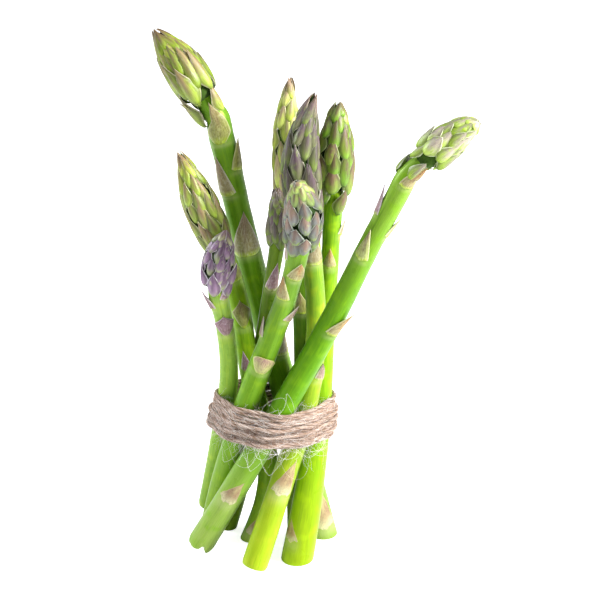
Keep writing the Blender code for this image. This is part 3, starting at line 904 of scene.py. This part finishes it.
scaleForm = {
    "across": 8,
    "along": 11,
    "widest": 0.40,
    "bulge": 0.27,
    "keel": 0.05,
    "wrap": 0.30,
    "thick": 0.04,
    "seat": 0.80,  # how far out of the head a scale starts, as a share of its girth
    "looseSeat": 0.86,
    "core": 0.76,
    "turn": math.radians(137.508),  # from one scale to the next
    "beyond": 0.14,  # how far the last scales run past the end, as a share of the head's length
    "narrowed": 0.62,
}

headForm = {
    "points": 40,
    "start": 2 * mm,  # below the neck
    "widerOver": 8 * mm,
    "leastRadius": 0.3 * mm,
    "bare": 3,
    "coreStart": 0.4,
    "coreOver": 6 * mm,
    "coreEnd": 7 * mm,
}


def makeScale(point):
    # one scale a unit long and a unit wide, a closed shell that the trees lay on each head
    columns, rows = scaleForm["across"] + 1, scaleForm["along"] + 1
    v, u = np.meshgrid(np.linspace(0, 1, rows) ** 1.1, np.linspace(-1, 1, columns), indexing="ij")
    below = np.sin(np.clip(v / scaleForm["widest"], 0.05, 1) * math.pi / 2) ** 0.9
    above = np.clip(1 - (v - scaleForm["widest"]) / (1 - scaleForm["widest"]), 0, 1)
    above = above ** point * (1 + 0.55 * point * (1 - above))
    half = 0.5 * np.where(v < scaleForm["widest"], below, np.maximum(above, 0.03))
    swell = np.sin(math.pi * v ** 0.48) ** 0.8
    keel = scaleForm["keel"] * (1 - np.abs(u)) ** 2 * np.sin(math.pi * v)
    y = scaleForm["bulge"] * swell * (1 - 0.2 * u ** 2) + keel - scaleForm["wrap"] * np.abs(u * half * 2) ** 2.3
    outside = np.stack([u * half, y, v], -1)
    # the back: one strip of faces from margin to margin, a little under the front
    back = outside[:, [0, -1]] - (0, scaleForm["thick"], 0)
    first = rows * columns
    faces = []
    for i in range(rows - 1):
        for a in range(i * columns, (i + 1) * columns - 1):
            faces.append((a, a + 1, a + columns + 1, a + columns))
    for i in range(rows - 1):
        left, right = first + 2 * i, first + 2 * i + 1
        faces.append((left, left + 2, right + 2, right))
        faces.append((i * columns, (i + 1) * columns, left + 2, left))
        faces.append(((i + 1) * columns - 1, right, right + 2, (i + 2) * columns - 1))
    faces.append((*range(columns - 1, -1, -1), first, first + 1))
    faces.append((*range(first - columns, first), first + 2 * rows - 1, first + 2 * rows - 2))
    mesh = bpy.data.meshes.new("budScale")
    mesh.from_pydata(np.concatenate([outside.reshape(-1, 3), back.reshape(-1, 3)]), [], faces)
    alongs = np.concatenate([v.ravel(), np.repeat(np.linspace(0, 1, rows), 2)])
    acrosses = np.concatenate([u.ravel(), np.tile([-1.0, 1.0], rows)])
    addValues(mesh, scaleAlong=alongs, scaleAcross=acrosses)
    faceOutwards(mesh)
    mesh.shade_smooth()
    return bpy.data.objects.new("budScale", mesh)


def newShapeTree(name, inputs):
    inputs = {"Geometry": ["Geometry"], "Material": ["Material"], **inputs}
    tree, given, out = newTree(name, "GeometryNodeTree", inputs, {"Geometry": ["Geometry"]})
    tree.is_modifier = True
    return tree, given, out


def grow(name, mesh, tree, settings):
    # the tree's result on this mesh, as a plain mesh
    holder = bpy.data.objects.new(name, mesh)
    scene.collection.objects.link(holder)
    modifier = holder.modifiers.new(tree.name, "NODES")
    modifier.node_group = tree
    sockets = {item.name: item.identifier for item in tree.interface.items_tree if item.in_out == "INPUT"}
    for label, value in settings.items():
        modifier[sockets[label]] = value
    bpy.context.view_layer.update()
    grown = bpy.data.meshes.new_from_object(holder.evaluated_get(bpy.context.evaluated_depsgraph_get()))
    holder.modifiers.remove(modifier)
    bpy.data.objects.remove(holder)
    grown.name = name
    return grown


def polyline(name, places, **values):
    mesh = bpy.data.meshes.new(name)
    mesh.from_pydata(places, [(i, i + 1) for i in range(len(places) - 1)], [])
    addValues(mesh, **values)
    return mesh


def named(tree, name):
    return node("GeometryNodeInputNamedAttribute", {"Name": name}, "Attribute", tree, data_type="FLOAT")


def stored(shape, name, value):
    inputs = {"Geometry": shape, "Name": name, "Value": value}
    return node("GeometryNodeStoreNamedAttribute", inputs, data_type="FLOAT", domain="POINT")


def randomValue(tree, low, high, seed):
    return node("FunctionNodeRandomValue", {2: low, 3: high, "Seed": seed}, 1, tree, data_type="FLOAT")


def circle(tree, sides):
    return node("GeometryNodeCurvePrimitiveCircle", {"Resolution": sides, "Radius": 1.0}, tree=tree)


def swept(line, profile, radius):
    inputs = {"Curve": line, "Profile Curve": profile, "Scale": radius, "Fill Caps": True}
    return node("GeometryNodeCurveToMesh", inputs)


def finish(shape, given, out):
    # how every tree ends
    real = node("GeometryNodeRealizeInstances", {"Geometry": shape})
    fill(out, {"Geometry": node("GeometryNodeSetMaterial", {"Geometry": real, "Material": given["Material"]})})


def buildHeadTree():
    tree, given, out = newShapeTree("headOfScales", {
        "Object": ["Scale"],
        "Int": ["Scales", "Seed"],
        "Bool": ["With Core"],
        "Float": [
            "Low Length", "High Length", "Width", "Lean Out", "Seat", "Core", "Lowest", "Highest", "Row Span",
        ],
    })
    seed = given["Seed"]
    line = node("GeometryNodeMeshToCurve", {"Mesh": given["Geometry"]})
    wholeLength = node("GeometryNodeCurveLength", {"Curve": line})

    def sampled(factor):
        inputs = {"Curves": line, "Value": named(tree, "girth"), "Factor": factor}
        girth = node("GeometryNodeSampleCurve", inputs, "Value", mode="FACTOR", use_all_curves=True)
        return girth, girth.other("Position"), girth.other("Tangent")

    index = node("GeometryNodeInputIndex", tree=tree)
    share = index / (given["Scales"] - 1)
    factor = ranged(share ** 0.95, given["Lowest"], given["Highest"])
    length = ranged(share, given["Low Length"], given["High Length"]) * randomValue(tree, 0.80, 1.12, seed)
    wanted = factor + length / wholeLength
    lowGirth, lowPlace, growth = sampled(factor)
    highGirth, highPlace, highGrowth = sampled(combine("MINIMUM", wanted, 1.0))
    # the last scales run a little past the end and close it
    past = combine("MAXIMUM", wanted - 1.0, 0.0) * (wholeLength * scaleForm["beyond"])
    turned = index * scaleForm["turn"] + seed * 1.7 + randomValue(tree, -0.22, 0.22, seed + 5)
    towards = node("FunctionNodeInputVector", tree=tree, vector=(0, -1, 0))
    across = combine("NORMALIZE", combine("CROSS_PRODUCT", growth, towards))
    front = combine("CROSS_PRODUCT", across, growth)
    outward = front * combine("COSINE", turned) + across * combine("SINE", turned)
    place = lowPlace + outward * (lowGirth * given["Seat"] * randomValue(tree, 0.93, 1.09, seed + 7))
    leaning = given["Lean Out"] * length * (1.0 - share) * randomValue(tree, 0.2, 1.8, seed + 9)
    sideways = combine("NORMALIZE", combine("CROSS_PRODUCT", outward, growth))
    tipPlace = highPlace + highGrowth * past + outward * (highGirth + leaning - past * 0.9)
    tipPlace = tipPlace + sideways * (length * randomValue(tree, -0.13, 0.13, seed + 11))
    along = tipPlace - place
    axes = {"Primary Axis": along, "Secondary Axis": outward}
    wide = given["Width"] * ranged(share, 1.0, scaleForm["narrowed"]) * randomValue(tree, 0.88, 1.1, 4)
    points = node("GeometryNodePoints", {"Count": given["Scales"], "Position": place})
    points = stored(points, "scaleShade", randomValue(tree, 0.0, 1.0, seed + 2))
    laid = node("GeometryNodeInstanceOnPoints", {
        "Points": stored(points, "scaleRow", share * given["Row Span"]),
        "Instance": node("GeometryNodeObjectInfo", {"Object": given["Scale"], "As Instance": True}, "Geometry"),
        "Rotation": node("FunctionNodeAxesToRotation", axes, primary_axis="Z", secondary_axis="Y"),
        "Scale": vector(wide, wide, combine("LENGTH", along)),
    })
    core = stored(swept(line, circle(tree, 14), named(tree, "coreGirth") * given["Core"]), "scaleCore", 1.0)
    both = tree.nodes.new("GeometryNodeJoinGeometry")
    for part in (node("GeometryNodeSwitch", {0: given["With Core"], 2: core}, input_type="GEOMETRY"), laid):
        fill(both, {0: part})
    finish(Value(tree, both.outputs[0]), given, out)
    return tree


def buildScaleColours():
    # a scale's colours from its base to its tip, its thin pale margins, its darker middle, and painted shade at its
    # sides and base
    tree, given, out = newTree("scaleColours", "ShaderNodeTree", {
        "Float": ["Along", "Across", "Shade", "Row", "Crown Row", "Brown"],
        "Color": ["Base", "Body", "Tip", "Margin", "Crown"],
    }, {"Color": ["Color"], "Float": ["Streak"]})
    fromBase, shade, row = given["Along"], given["Shade"], given["Row"]
    grown = vector(given["Across"] * (2.8 * mm), shade * 0.08, fromBase * (13 * mm))
    streak, blotches = streaked(grown, 0.24 * mm, 14.0), noise(grown, 420.0, 3.0)
    wander, across = streak * 0.6 - 0.3, combine("ABSOLUTE", given["Across"])
    along = fromBase + (wander + (shade * 0.44 - 0.22))
    body = painted(given["Body"], (row - given["Crown Row"], -0.04, 0.10, 0.85, given["Crown"]))
    colour = painted(given["Base"], (along, 0.10, 0.40, 1.0, body), (along, 0.46, 0.92, 0.9, given["Tip"]))
    middle = between(wander * 0.7 + across, 0.06, 0.50, 0.75, 0.0) * between(fromBase, 0.18, 0.55)
    colour = painted(
        mixed(middle, colour, given["Tip"]),
        (blotches, 0.56, 0.74, 0.55, given["Base"]),
        (streak, 0.56, 0.74, 0.22, given["Margin"]),
    )
    # dark serves the random darker streaks and painted shade: darker towards the scale's sides and at its base, where
    # the neighbouring scales overlap it
    dark = mixed(1.0, colour, (0.36, 0.36, 0.36), "MULTIPLY")
    colour = painted(
        colour,
        (streak, 0.46, 0.30, 0.60, dark),
        (wander * 0.22 + across, 0.50, 0.80, 0.70, dark),
        (wander * 0.30 + across, 0.89, 0.98, 0.75, given["Margin"]),
        (fromBase, 0.20, 0.02, 0.9, dark),
        (row + fromBase * 0.30, 1.02, 1.22, given["Brown"], (0.24, 0.13, 0.07)),
    )
    light = shade * 0.60 + 0.62
    grey = node("ShaderNodeCombineColor", {0: light, 1: light, 2: light})
    fill(out, {"Color": mixed(1.0, colour, grey, "MULTIPLY"), "Streak": streak})
    return tree


scaleColours = buildScaleColours()


def scaleSkin(key, look):
    material, tree, shader = newMaterial(f"{key}_scales")
    inputs = dict(zip(("Base", "Body", "Tip", "Margin", "Crown"), look["colours"]))
    inputs |= {label: attribute(tree, f"scale{label}") for label in ("Along", "Across", "Shade", "Row")}
    inputs |= {"Crown Row": look["crown"], "Brown": look["brown"]}
    colour = node("ShaderNodeGroup", inputs, "Color", node_tree=scaleColours)
    core = attribute(tree, "scaleCore")
    # painted shade: the core that shows between the scales is coloured near black, as the shade in the crevices
    gap = tuple(channel * share for channel, share in zip(look["colours"][0], (0.10, 0.16, 0.10)))
    fill(shader, {
        "Base Color": mixed(core, colour, gap),
        "Roughness": core * 0.55 + 0.42,
        "Normal": bumped(colour.other("Streak"), 0.8, 0.12 * mm),
        "Subsurface Weight": 0.04,
        "Subsurface Radius": (0.8, 0.9, 0.3),
        "Subsurface Scale": 0.8 * mm,
        "Sheen Weight": 0.03,
    })
    return material


def headSettings(look):
    # what the tree is told of a head and of the loose scales below it alike
    return {
        "Scales": look["scales"],
        "Low Length": look["lengths"][0] * mm,
        "High Length": look["lengths"][1] * mm,
        "Width": look["width"] * mm,
        "Lean Out": look["leanOut"],
        "Lowest": look["lowest"],
        "Highest": look["highest"],
    }


headTree = buildHeadTree()
for number, (key, spear) in enumerate(spears.items()):
    look, neck, tip = heads[key], spear["neck"], spear["tip"]
    lengths = np.linspace(neck - headForm["start"], tip, headForm["points"])
    places, _, radii = lineAt(spear, lengths)
    inHead = lengths > neck
    radii[inHead] = radii.max() * (radii[inHead] / radii.max()) ** look["blunter"]
    radii *= 1 + (look["wider"] - 1) * np.clip((lengths - lengths[0]) / headForm["widerOver"], 0, 1)
    radii = np.maximum(radii, headForm["leastRadius"])
    bare = look.get("bare", headForm["bare"]) * mm
    full = np.clip((lengths - neck - bare) / headForm["coreOver"], 0, 1)
    inside = headForm["coreStart"] + (1 - headForm["coreStart"]) * full
    inside *= np.clip((tip - lengths) / headForm["coreEnd"], 0.1, 1) ** 0.5
    settings = headSettings(look) | {
        "Scale": makeScale(look["point"]), "Seat": scaleForm["seat"], "Core": scaleForm["core"],
        "Seed": number + 3, "With Core": True, "Row Span": 1.0, "Material": scaleSkin(key, look),
    }
    headLine = polyline(f"{key}_head_line", places, girth=radii, coreGirth=radii * inside)
    mesh = grow(f"{key}_bud_scales", headLine, headTree, settings)
    addPiece(f"{key}_bud_scales", mesh, [f"{key}_bud"], [])
    if "bracts" in look:
        settings |= headSettings(look["bracts"]) | {
            "Seat": scaleForm["looseSeat"], "Seed": look["bracts"]["seed"], "With Core": False, "Row Span": 0.2,
        }
        looseLine = polyline(f"{key}_loose_line", places, girth=scaleForm["looseSeat"] * radii, coreGirth=radii)
        bracts = grow(f"{key}_bud_bracts", looseLine, headTree, settings)
        addPiece(f"{key}_bud_bracts", bracts, [f"{key}_bud"], [])
    print(f"{key}: neck {neck * 1000:.0f} mm, head {(tip - neck) * 1000:.0f} mm long, "
          f"{2000 * radii.max():.1f} mm across, {len(mesh.polygons)} faces")
print("heads are covered in scales")

# the twine, wound round the waist and knotted at the back

twine = {
    "radius": 0.75 * mm,
    "fuller": 1.14,  # the soft strands swell a little past the solid ones
    "gap": 0.26 * mm,
    "innerTurns": 10,
    "outerTurns": 3,
    "outerPitch": 3.6 * mm,
    "climb": 0.4,
    "stepsPerTurn": 180,
    "wander": 0.24 * mm,
    "twist": 17.0 * mm,  # the length in which the plies go once round
    "step": 0.6 * mm,
    "onTop": 1.85,  # how far out the outer turns lie, in radii of the cord
    "waistRadius": 25 * mm,
    "waistGrid": (13, 721),  # how many heights and turns the waist is known at
    "waistLift": 4 * mm,
    "outline": 48,
    "unevenPerMetre": 260.0,
}

knot = {
    "radius": 2.9 * mm,
    "tail": 12 * mm,
    "spread": 0.6,
    "droop": 19 / 35,
    "standOff": 0.3,
    "coils": 2.3,
    "coilSteps": 60,
    "tailSteps": 26,
    "inCoils": 6,  # how many steps of each tail are hidden in the coils
    "width": 1.4 * mm,
}

# how many hairs a square metre, their shortest and longest, thickness, droop and curl
fuzz = {"density": 230000.0, "lengths": (1.5, 10.0), "radius": 0.034 * mm, "droop": 0.2, "curl": 0.5}
curls = {"density": 240000.0, "lengths": (5.0, 12.0), "radius": 0.034 * mm, "droop": 0.6, "curl": 0.7}
everywhere = 1.0  # a height and a depth that all of the cord is under and in front of
curlsFront = -12 * mm


def reachTable(lift, heights, turns):
    # how far the line pulled tight round all the stems is from their middle, by height and direction
    outline = np.linspace(0, 2 * math.pi, twine["outline"], endpoint=False)
    table, middle = [], np.zeros(2)
    for height in heights:
        middles, corners = [], []
        for spear in spears.values():
            length = np.interp(height, spear["places"][:, 2], spear["lengths"])
            place, along, radius = lineAt(spear, length)
            front, right = sidesOf(along)
            out = np.cos(outline)[:, None] * front + np.sin(outline)[:, None] * right
            corners.append(place + (radius + lift) * (out - along * out[:, 2:] / along[2]))
            middles.append(place[:2])
        if height == heights[len(heights) // 2]:
            middle = np.mean(middles, axis=0)
        table.append(np.concatenate(corners)[:, :2])
    rays = np.stack([np.cos(turns), np.sin(turns)], -1)
    rows = []
    for corners in table:
        hull = corners[geometry.convex_hull_2d([Vector(corner) for corner in corners])] - middle
        edges = np.roll(hull, -1, axis=0) - hull
        outward = unit(np.stack([edges[:, 1], -edges[:, 0]], -1))
        outward *= np.sign(np.sum(outward * hull, axis=1))[:, None]
        facing = rays @ outward.T
        distances = np.sum(outward * hull, axis=1) / np.where(facing > 1e-3, facing, 1e-3)
        rows.append(np.where(facing > 1e-3, distances, np.inf).min(axis=1))
    return np.array(rows), middle


class Waist:
    # the line pulled tight round the spears, by turn, height and lift
    def __init__(self, low, high):
        self.heights = np.linspace(low, high, twine["waistGrid"][0])
        self.turns = np.linspace(0, 2 * math.pi, twine["waistGrid"][1])
        self.lifts = (0.0, twine["waistLift"])
        tables = [reachTable(lift, self.heights, self.turns) for lift in self.lifts]
        self.tables, self.middle = [table for table, _ in tables], tables[0][1]

    def point(self, turn, height, lift):
        low, high = self.heights[0], self.heights[-1]
        row = (np.clip(height, low, high) - low) / (self.heights[1] - low)
        below = np.minimum(row.astype(int), len(self.heights) - 2)
        column = turn % (2 * math.pi) / self.turns[1]
        before = np.minimum(column.astype(int), len(self.turns) - 2)
        down, over = row - below, column - before
        reaches = []
        for table in self.tables:
            lower = table[below, before] * (1 - over) + table[below, before + 1] * over
            upper = table[below + 1, before] * (1 - over) + table[below + 1, before + 1] * over
            reaches.append(lower * (1 - down) + upper * down)
        reach = reaches[0] + (reaches[1] - reaches[0]) * lift / self.lifts[1]
        flat = self.middle + reach[..., None] * np.stack([np.cos(turn), np.sin(turn)], -1)
        return np.concatenate([flat, height[..., None]], -1)


def twineRoute(waist, low, high):
    # down the waist in close turns, then back up over them in wider ones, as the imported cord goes
    inner, outer, climb = twine["innerTurns"], twine["outerTurns"], twine["climb"]
    pitch = (high - low) / (inner - climb)
    toKnot = (knot["radius"] + 2 * twine["radius"]) / (2 * math.pi * twine["waistRadius"]) * 1.6
    last = inner + outer - toKnot
    turns = np.linspace(0, last, round(twine["stepsPerTurn"] * last))
    goingUp = low + twine["outerPitch"] * np.maximum(turns - inner, 0)
    heights = np.where(turns < inner - climb, high - pitch * turns, goingUp)
    onTop = np.clip((turns - inner + climb) / climb, 0, 1)
    lifts = twine["gap"] + twine["radius"] + onTop * twine["onTop"] * twine["radius"]
    angles = math.pi / 2 + 2 * math.pi * turns
    wander = np.sin(angles * 1.37) + 0.6 * np.sin(angles * 3.1 + 1) + 0.4 * np.sin(angles * 7.3 + 2)
    heights = heights + twine["wander"] * wander * (0.5 + 1.2 * onTop)
    lifts = lifts + 0.3 * twine["wander"] * np.sin(angles * 5.3)
    return waist.point(angles, heights, lifts)


def knotRoute(middle, away):
    # one tail, a few tight coils and the other tail
    up = np.array([0.0, 0.0, 1.0])
    right = np.cross(up, away)

    def moved(sideways, upwards, outwards):
        return middle + sideways[:, None] * right + upwards[:, None] * up + outwards[:, None] * away

    tails = []
    for way in (-1, 1):
        reach = np.linspace(0, knot["radius"] + knot["tail"], knot["tailSteps"])
        sideways = way * knot["spread"] * reach + 0.5 * mm * np.sin(reach * 500 + way)
        tails.append(moved(sideways, -knot["droop"] * reach ** 1.25, knot["standOff"] * reach))
    angle = np.linspace(0, 2 * math.pi * knot["coils"], knot["coilSteps"])
    radius = (knot["radius"] - twine["radius"]) * (0.75 + 0.25 * np.sin(angle * 0.5))
    shift = np.linspace(-1, 1, knot["coilSteps"]) * knot["width"]
    coil = moved(shift, radius * np.cos(angle), radius * np.sin(angle))
    return np.concatenate([tails[0][:knot["inCoils"] - 1:-1], coil, tails[1][knot["inCoils"]:]])


def buildTwineTree():
    # plies twisted into one cord along a line, with the length and the way round kept for the material
    tree, given, out = newShapeTree("twistedTwine", {"Float": ["Radius", "Twist", "Step"]})
    wholeTurn = 2 * math.pi
    line = node("GeometryNodeMeshToCurve", {"Mesh": given["Geometry"]})
    line = node("GeometryNodeCurveSplineType", {"Curve": line}, spline_type="CATMULL_ROM")
    line = node("GeometryNodeResampleCurve", {"Curve": line, "Length": given["Step"]}, mode="LENGTH")
    length = node("GeometryNodeSplineParameter", None, "Length", tree)
    line = stored(line, "ropeLength", length)
    line = node("GeometryNodeSetCurveTilt", {"Curve": line, "Tilt": length / given["Twist"] * wholeTurn})
    around = node("GeometryNodeSplineParameter", None, "Factor", tree) * wholeTurn
    profile = stored(circle(tree, 14), "ropeTurn", around)
    lobes = combine("ABSOLUTE", combine("COSINE", around)) * 0.22 + 0.82
    spot = node("GeometryNodeInputPosition", tree=tree) * lobes
    profile = node("GeometryNodeSetPosition", {"Geometry": profile, "Position": spot})
    uneven = noise(vector(length * twine["unevenPerMetre"]), 1.0, 2.0)
    finish(swept(line, profile, given["Radius"] * (uneven * 0.60 + 0.70)), given, out)
    return tree


def buildFibreTree():
    # loose hairs that start on the cord and curl away from it, each a three-sided thread
    tree, given, out = newShapeTree("looseFibres", {
        "Float": ["Density", "Shortest", "Longest", "Radius", "Droop", "Curl", "Below", "In Front"],
        "Int": ["Seed"],
    })
    seed = given["Seed"]
    spot = node("ShaderNodeSeparateXYZ", {0: node("GeometryNodeInputPosition", tree=tree)})
    low = node("FunctionNodeCompare", {0: spot.other(2), 1: given["Below"]}, operation="LESS_THAN")
    near = node("FunctionNodeCompare", {0: spot.other(1), 1: given["In Front"]}, operation="LESS_THAN")
    chosen = node("FunctionNodeBooleanMath", {0: low, 1: near}, operation="AND")
    inputs = {"Mesh": given["Geometry"], "Selection": chosen, "Density": given["Density"], "Seed": seed}
    points = node("GeometryNodeDistributePointsOnFaces", inputs, "Points")
    inputs = {0: (-1, -1, -1), 1: (1, 1, 1), "Seed": seed}
    anyWay = node("FunctionNodeRandomValue", inputs, data_type="FLOAT_VECTOR")
    heading = points.other("Normal") * 0.55 + anyWay
    points = stored(points, "fibre", node("GeometryNodeInputIndex", tree=tree))
    long = ranged(randomValue(tree, 0.0, 1.0, 11) ** 1.6, given["Shortest"], given["Longest"])
    straight = node("GeometryNodeCurvePrimitiveLine", {"Start": (0, 0, 0), "End": (0, 0, 1)}, tree=tree)
    laid = node("GeometryNodeInstanceOnPoints", {
        "Points": stored(points, "fibreLength", long),
        "Instance": node("GeometryNodeResampleCurve", {"Curve": straight, "Count": 13}),
        "Rotation": node("FunctionNodeAlignRotationToVector", {"Vector": heading}, axis="Z"),
        "Scale": long,
    })
    laid = node("GeometryNodeRealizeInstances", {"Geometry": laid})
    share = node("GeometryNodeSplineParameter", None, "Factor", tree)
    fibre, fibreLength = named(tree, "fibre"), named(tree, "fibreLength")
    # the curl: a smooth noise along the hair, other for each one
    swing = noise(vector(fibre * 7.31, share, 0.5), 1.0, 0.0, "Color") - (0.5, 0.5, 0.5)
    swing = swing * (given["Curl"] * 4.0 * (fibreLength * share))
    sag = vector(z=fibreLength * given["Droop"] * share ** 1.6 * -1.0)
    laid = node("GeometryNodeSetPosition", {"Geometry": laid, "Offset": swing + sag})
    finish(swept(laid, circle(tree, 3), given["Radius"] * (share * -0.6 + 1.0)), given, out)
    return tree


def buildThreadTree():
    # thin threads along the given lines
    tree, given, out = newShapeTree("longThreads", {"Float": ["Radius"]})
    lines = stored(node("GeometryNodeMeshToCurve", {"Mesh": given["Geometry"]}), "fibre", named(tree, "thread"))
    finish(swept(lines, circle(tree, 3), given["Radius"]), given, out)
    return tree


# long threads that leave the wrap and come back to it, with turns in degrees and lengths in mm
loops = {
    "seed": 12, "radius": 0.038 * mm, "steps": 40, "lift": 2.2, "turns": (-145, -35),
    # how many hang below, where most of them are, how far they reach and sink, and how far out they stand
    "count": 26, "middle": -86, "span": 32, "reach": (4, 22), "sink": (1.5, 16.0), "out": (1.0, 4.5),
    # threads that lie over the wrap itself, and how far they rise or sink
    "across": 22, "acrossReach": (8, 26), "acrossOut": (2.6, 3.8), "sway": 6.0,
    # the arcs above the wrap: from one turn to another, and how high they rise
    "aboveOut": 3.0, "above": [(-105, -68, 11.0), (-97, -80, 5.0), (-72, -50, 7.0), (-86, -66, 13.0)],
}


def looseLoops(waist, low, high):
    rng = np.random.default_rng(loops["seed"])
    places, edges, threads = [], [], []
    t = np.linspace(0, 1, loops["steps"])

    def add(start, end, rise, out, height):
        turn = np.radians(start + (end - start) * t + 5 * np.sin(2 * math.pi * t + rise) * np.sin(math.pi * t))
        lean = np.sin(math.pi * t ** rng.uniform(0.7, 1.4))
        places.append(waist.point(turn, height + np.zeros_like(t), (loops["lift"] + out * lean) * mm))
        places[-1][:, 2] += rise * mm * lean + 0.4 * mm * np.sin(9 * t + start) * lean
        places[-1] = smoothed(places[-1], 4)
        first = sum(len(part) for part in places[:-1])
        edges.extend((first + i, first + i + 1) for i in range(len(t) - 1))
        threads.append(np.full(len(t), len(threads) * 1.0))

    for _ in range(loops["count"]):
        centre = np.clip(rng.normal(loops["middle"], loops["span"]), *loops["turns"])
        reach = rng.uniform(*loops["reach"]) * rng.choice((-1, 1))
        sink = rng.uniform(0, 1) ** 2.2 * (loops["sink"][1] - loops["sink"][0]) + loops["sink"][0]
        add(centre - reach, centre + reach, -sink, rng.uniform(*loops["out"]), low + rng.uniform(0, 2) * mm)
    for _ in range(loops["across"]):
        centre = rng.uniform(*loops["turns"])
        reach = rng.uniform(*loops["acrossReach"]) * rng.choice((-1, 1))
        rise, out = rng.uniform(-1, 1) * loops["sway"], rng.uniform(*loops["acrossOut"])
        add(centre - reach, centre + reach, rise, out, rng.uniform(low, high))
    for start, end, rise in loops["above"]:
        add(start, end, rise, loops["aboveOut"], high - 0.5 * mm)
    mesh = bpy.data.meshes.new("loopLines")
    mesh.from_pydata(np.concatenate(places), edges, [])
    addValues(mesh, thread=np.concatenate(threads))
    return mesh


def buildJute():
    material, tree, shader = newMaterial("juteCord")
    length, around = attribute(tree, "ropeLength"), attribute(tree, "ropeTurn")
    # strands wind round the cord with the plies, so they are drawn along the length and round it
    ahead, sideways = combine("COSINE", around), combine("SINE", around)
    onCord = vector(ahead * twine["radius"], sideways * twine["radius"], length)
    strand, coarse = streaked(onCord, 0.16 * mm, 14.0), streaked(onCord, 0.5 * mm, 9.0)
    # painted shade: darker in the valleys where the plies meet
    valley = between(combine("ABSOLUTE", ahead), 0.0, 0.5, 1.0, 0.0)
    colour = painted(
        (0.31, 0.185, 0.115),
        (coarse, 0.35, 0.68, 1.0, (0.62, 0.455, 0.375)),
        (strand, 0.52, 0.72, 0.8, (0.94, 0.85, 0.81)),
        (strand, 0.45, 0.28, 0.85, (0.13, 0.065, 0.03)),
    )
    fill(shader, {
        "Base Color": mixed(valley * 0.75, colour, (0.10, 0.05, 0.025)),
        "Roughness": 0.9,
        "Normal": bumped(coarse * 0.7 + strand, 1.0, 0.35 * mm),
        "Sheen Weight": 0.1,
    })
    return material


def buildFibreSkin():
    material, tree, shader = newMaterial("looseFibre")
    # the golden ratio spreads the hairs' tints evenly
    tint = combine("FRACT", attribute(tree, "fibre") * 0.6180339)
    colour = painted((0.95, 0.93, 0.91), (tint, 0.5, 1.0, 1.0, (0.70, 0.55, 0.43)))
    fill(shader, {"Base Color": colour, "Roughness": 0.6})
    return material


jute, fibreSkin = buildJute(), buildFibreSkin()
twineTree, fibreTree = buildTwineTree(), buildFibreTree()
wrapLow, wrapHigh = [corner[2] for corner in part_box("twine_wrap")]
wrapLow, wrapHigh = wrapLow + twine["radius"], wrapHigh - twine["radius"]
waist = Waist(wrapLow - mm, wrapHigh + mm)
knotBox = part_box("twine_knot")
away = unit(np.array([*((knotBox[0][i] + knotBox[1][i]) / 2 - waist.middle[i] for i in (0, 1)), 0.0]))
knotHeight = knotBox[1][2] - knot["radius"]
knotLift = 2 * twine["radius"] + knot["radius"] + twine["gap"]
knotMiddle = waist.point(*(np.array(value) for value in (math.pi / 2, knotHeight, knotLift)))

cordSettings = {
    "Radius": twine["radius"] * twine["fuller"], "Twist": twine["twist"], "Step": twine["step"], "Material": jute,
}
route = twineRoute(waist, wrapLow, wrapHigh)
wrapMesh = grow("twine_wrap_cord", polyline("wrapLine", route), twineTree, cordSettings)
knotMesh = grow("twine_knot_cord", polyline("knotLine", knotRoute(knotMiddle, away)), twineTree, cordSettings)
span = np.linalg.norm(np.diff(route, axis=0), axis=1).sum()
print(f"{span:.2f} m of twine is wound, {len(wrapMesh.polygons)} faces")


def hairSettings(look, below, inFront, seed):
    return {
        "Density": look["density"], "Shortest": look["lengths"][0] * mm, "Longest": look["lengths"][1] * mm,
        "Radius": look["radius"], "Droop": look["droop"], "Curl": look["curl"], "Below": below, "In Front": inFront,
        "Seed": seed, "Material": fibreSkin,
    }


threadSettings = {"Radius": loops["radius"], "Material": fibreSkin}
allOver = hairSettings(fuzz, everywhere, everywhere, 5)
belowWrap = hairSettings(curls, wrapLow + 0.3 * mm, curlsFront, 8)
meshes = {
    "twine_wrap_cord": wrapMesh,
    "twine_wrap_fuzz": grow("twine_fuzz", wrapMesh.copy(), fibreTree, allOver),
    "twine_wrap_curls": grow("twine_curls", wrapMesh.copy(), fibreTree, belowWrap),
    "twine_wrap_loops": grow("twine_loops", looseLoops(waist, wrapLow, wrapHigh), buildThreadTree(), threadSettings),
    "twine_knot_cord": knotMesh,
    "twine_knot_fuzz": grow("knot_fuzz", knotMesh.copy(), fibreTree, allOver | {"Seed": 6}),
}
for name, mesh in meshes.items():
    addPiece(name, mesh, [name.rpartition("_")[0]], [])
    print(f"{name}: {len(mesh.polygons)} faces")
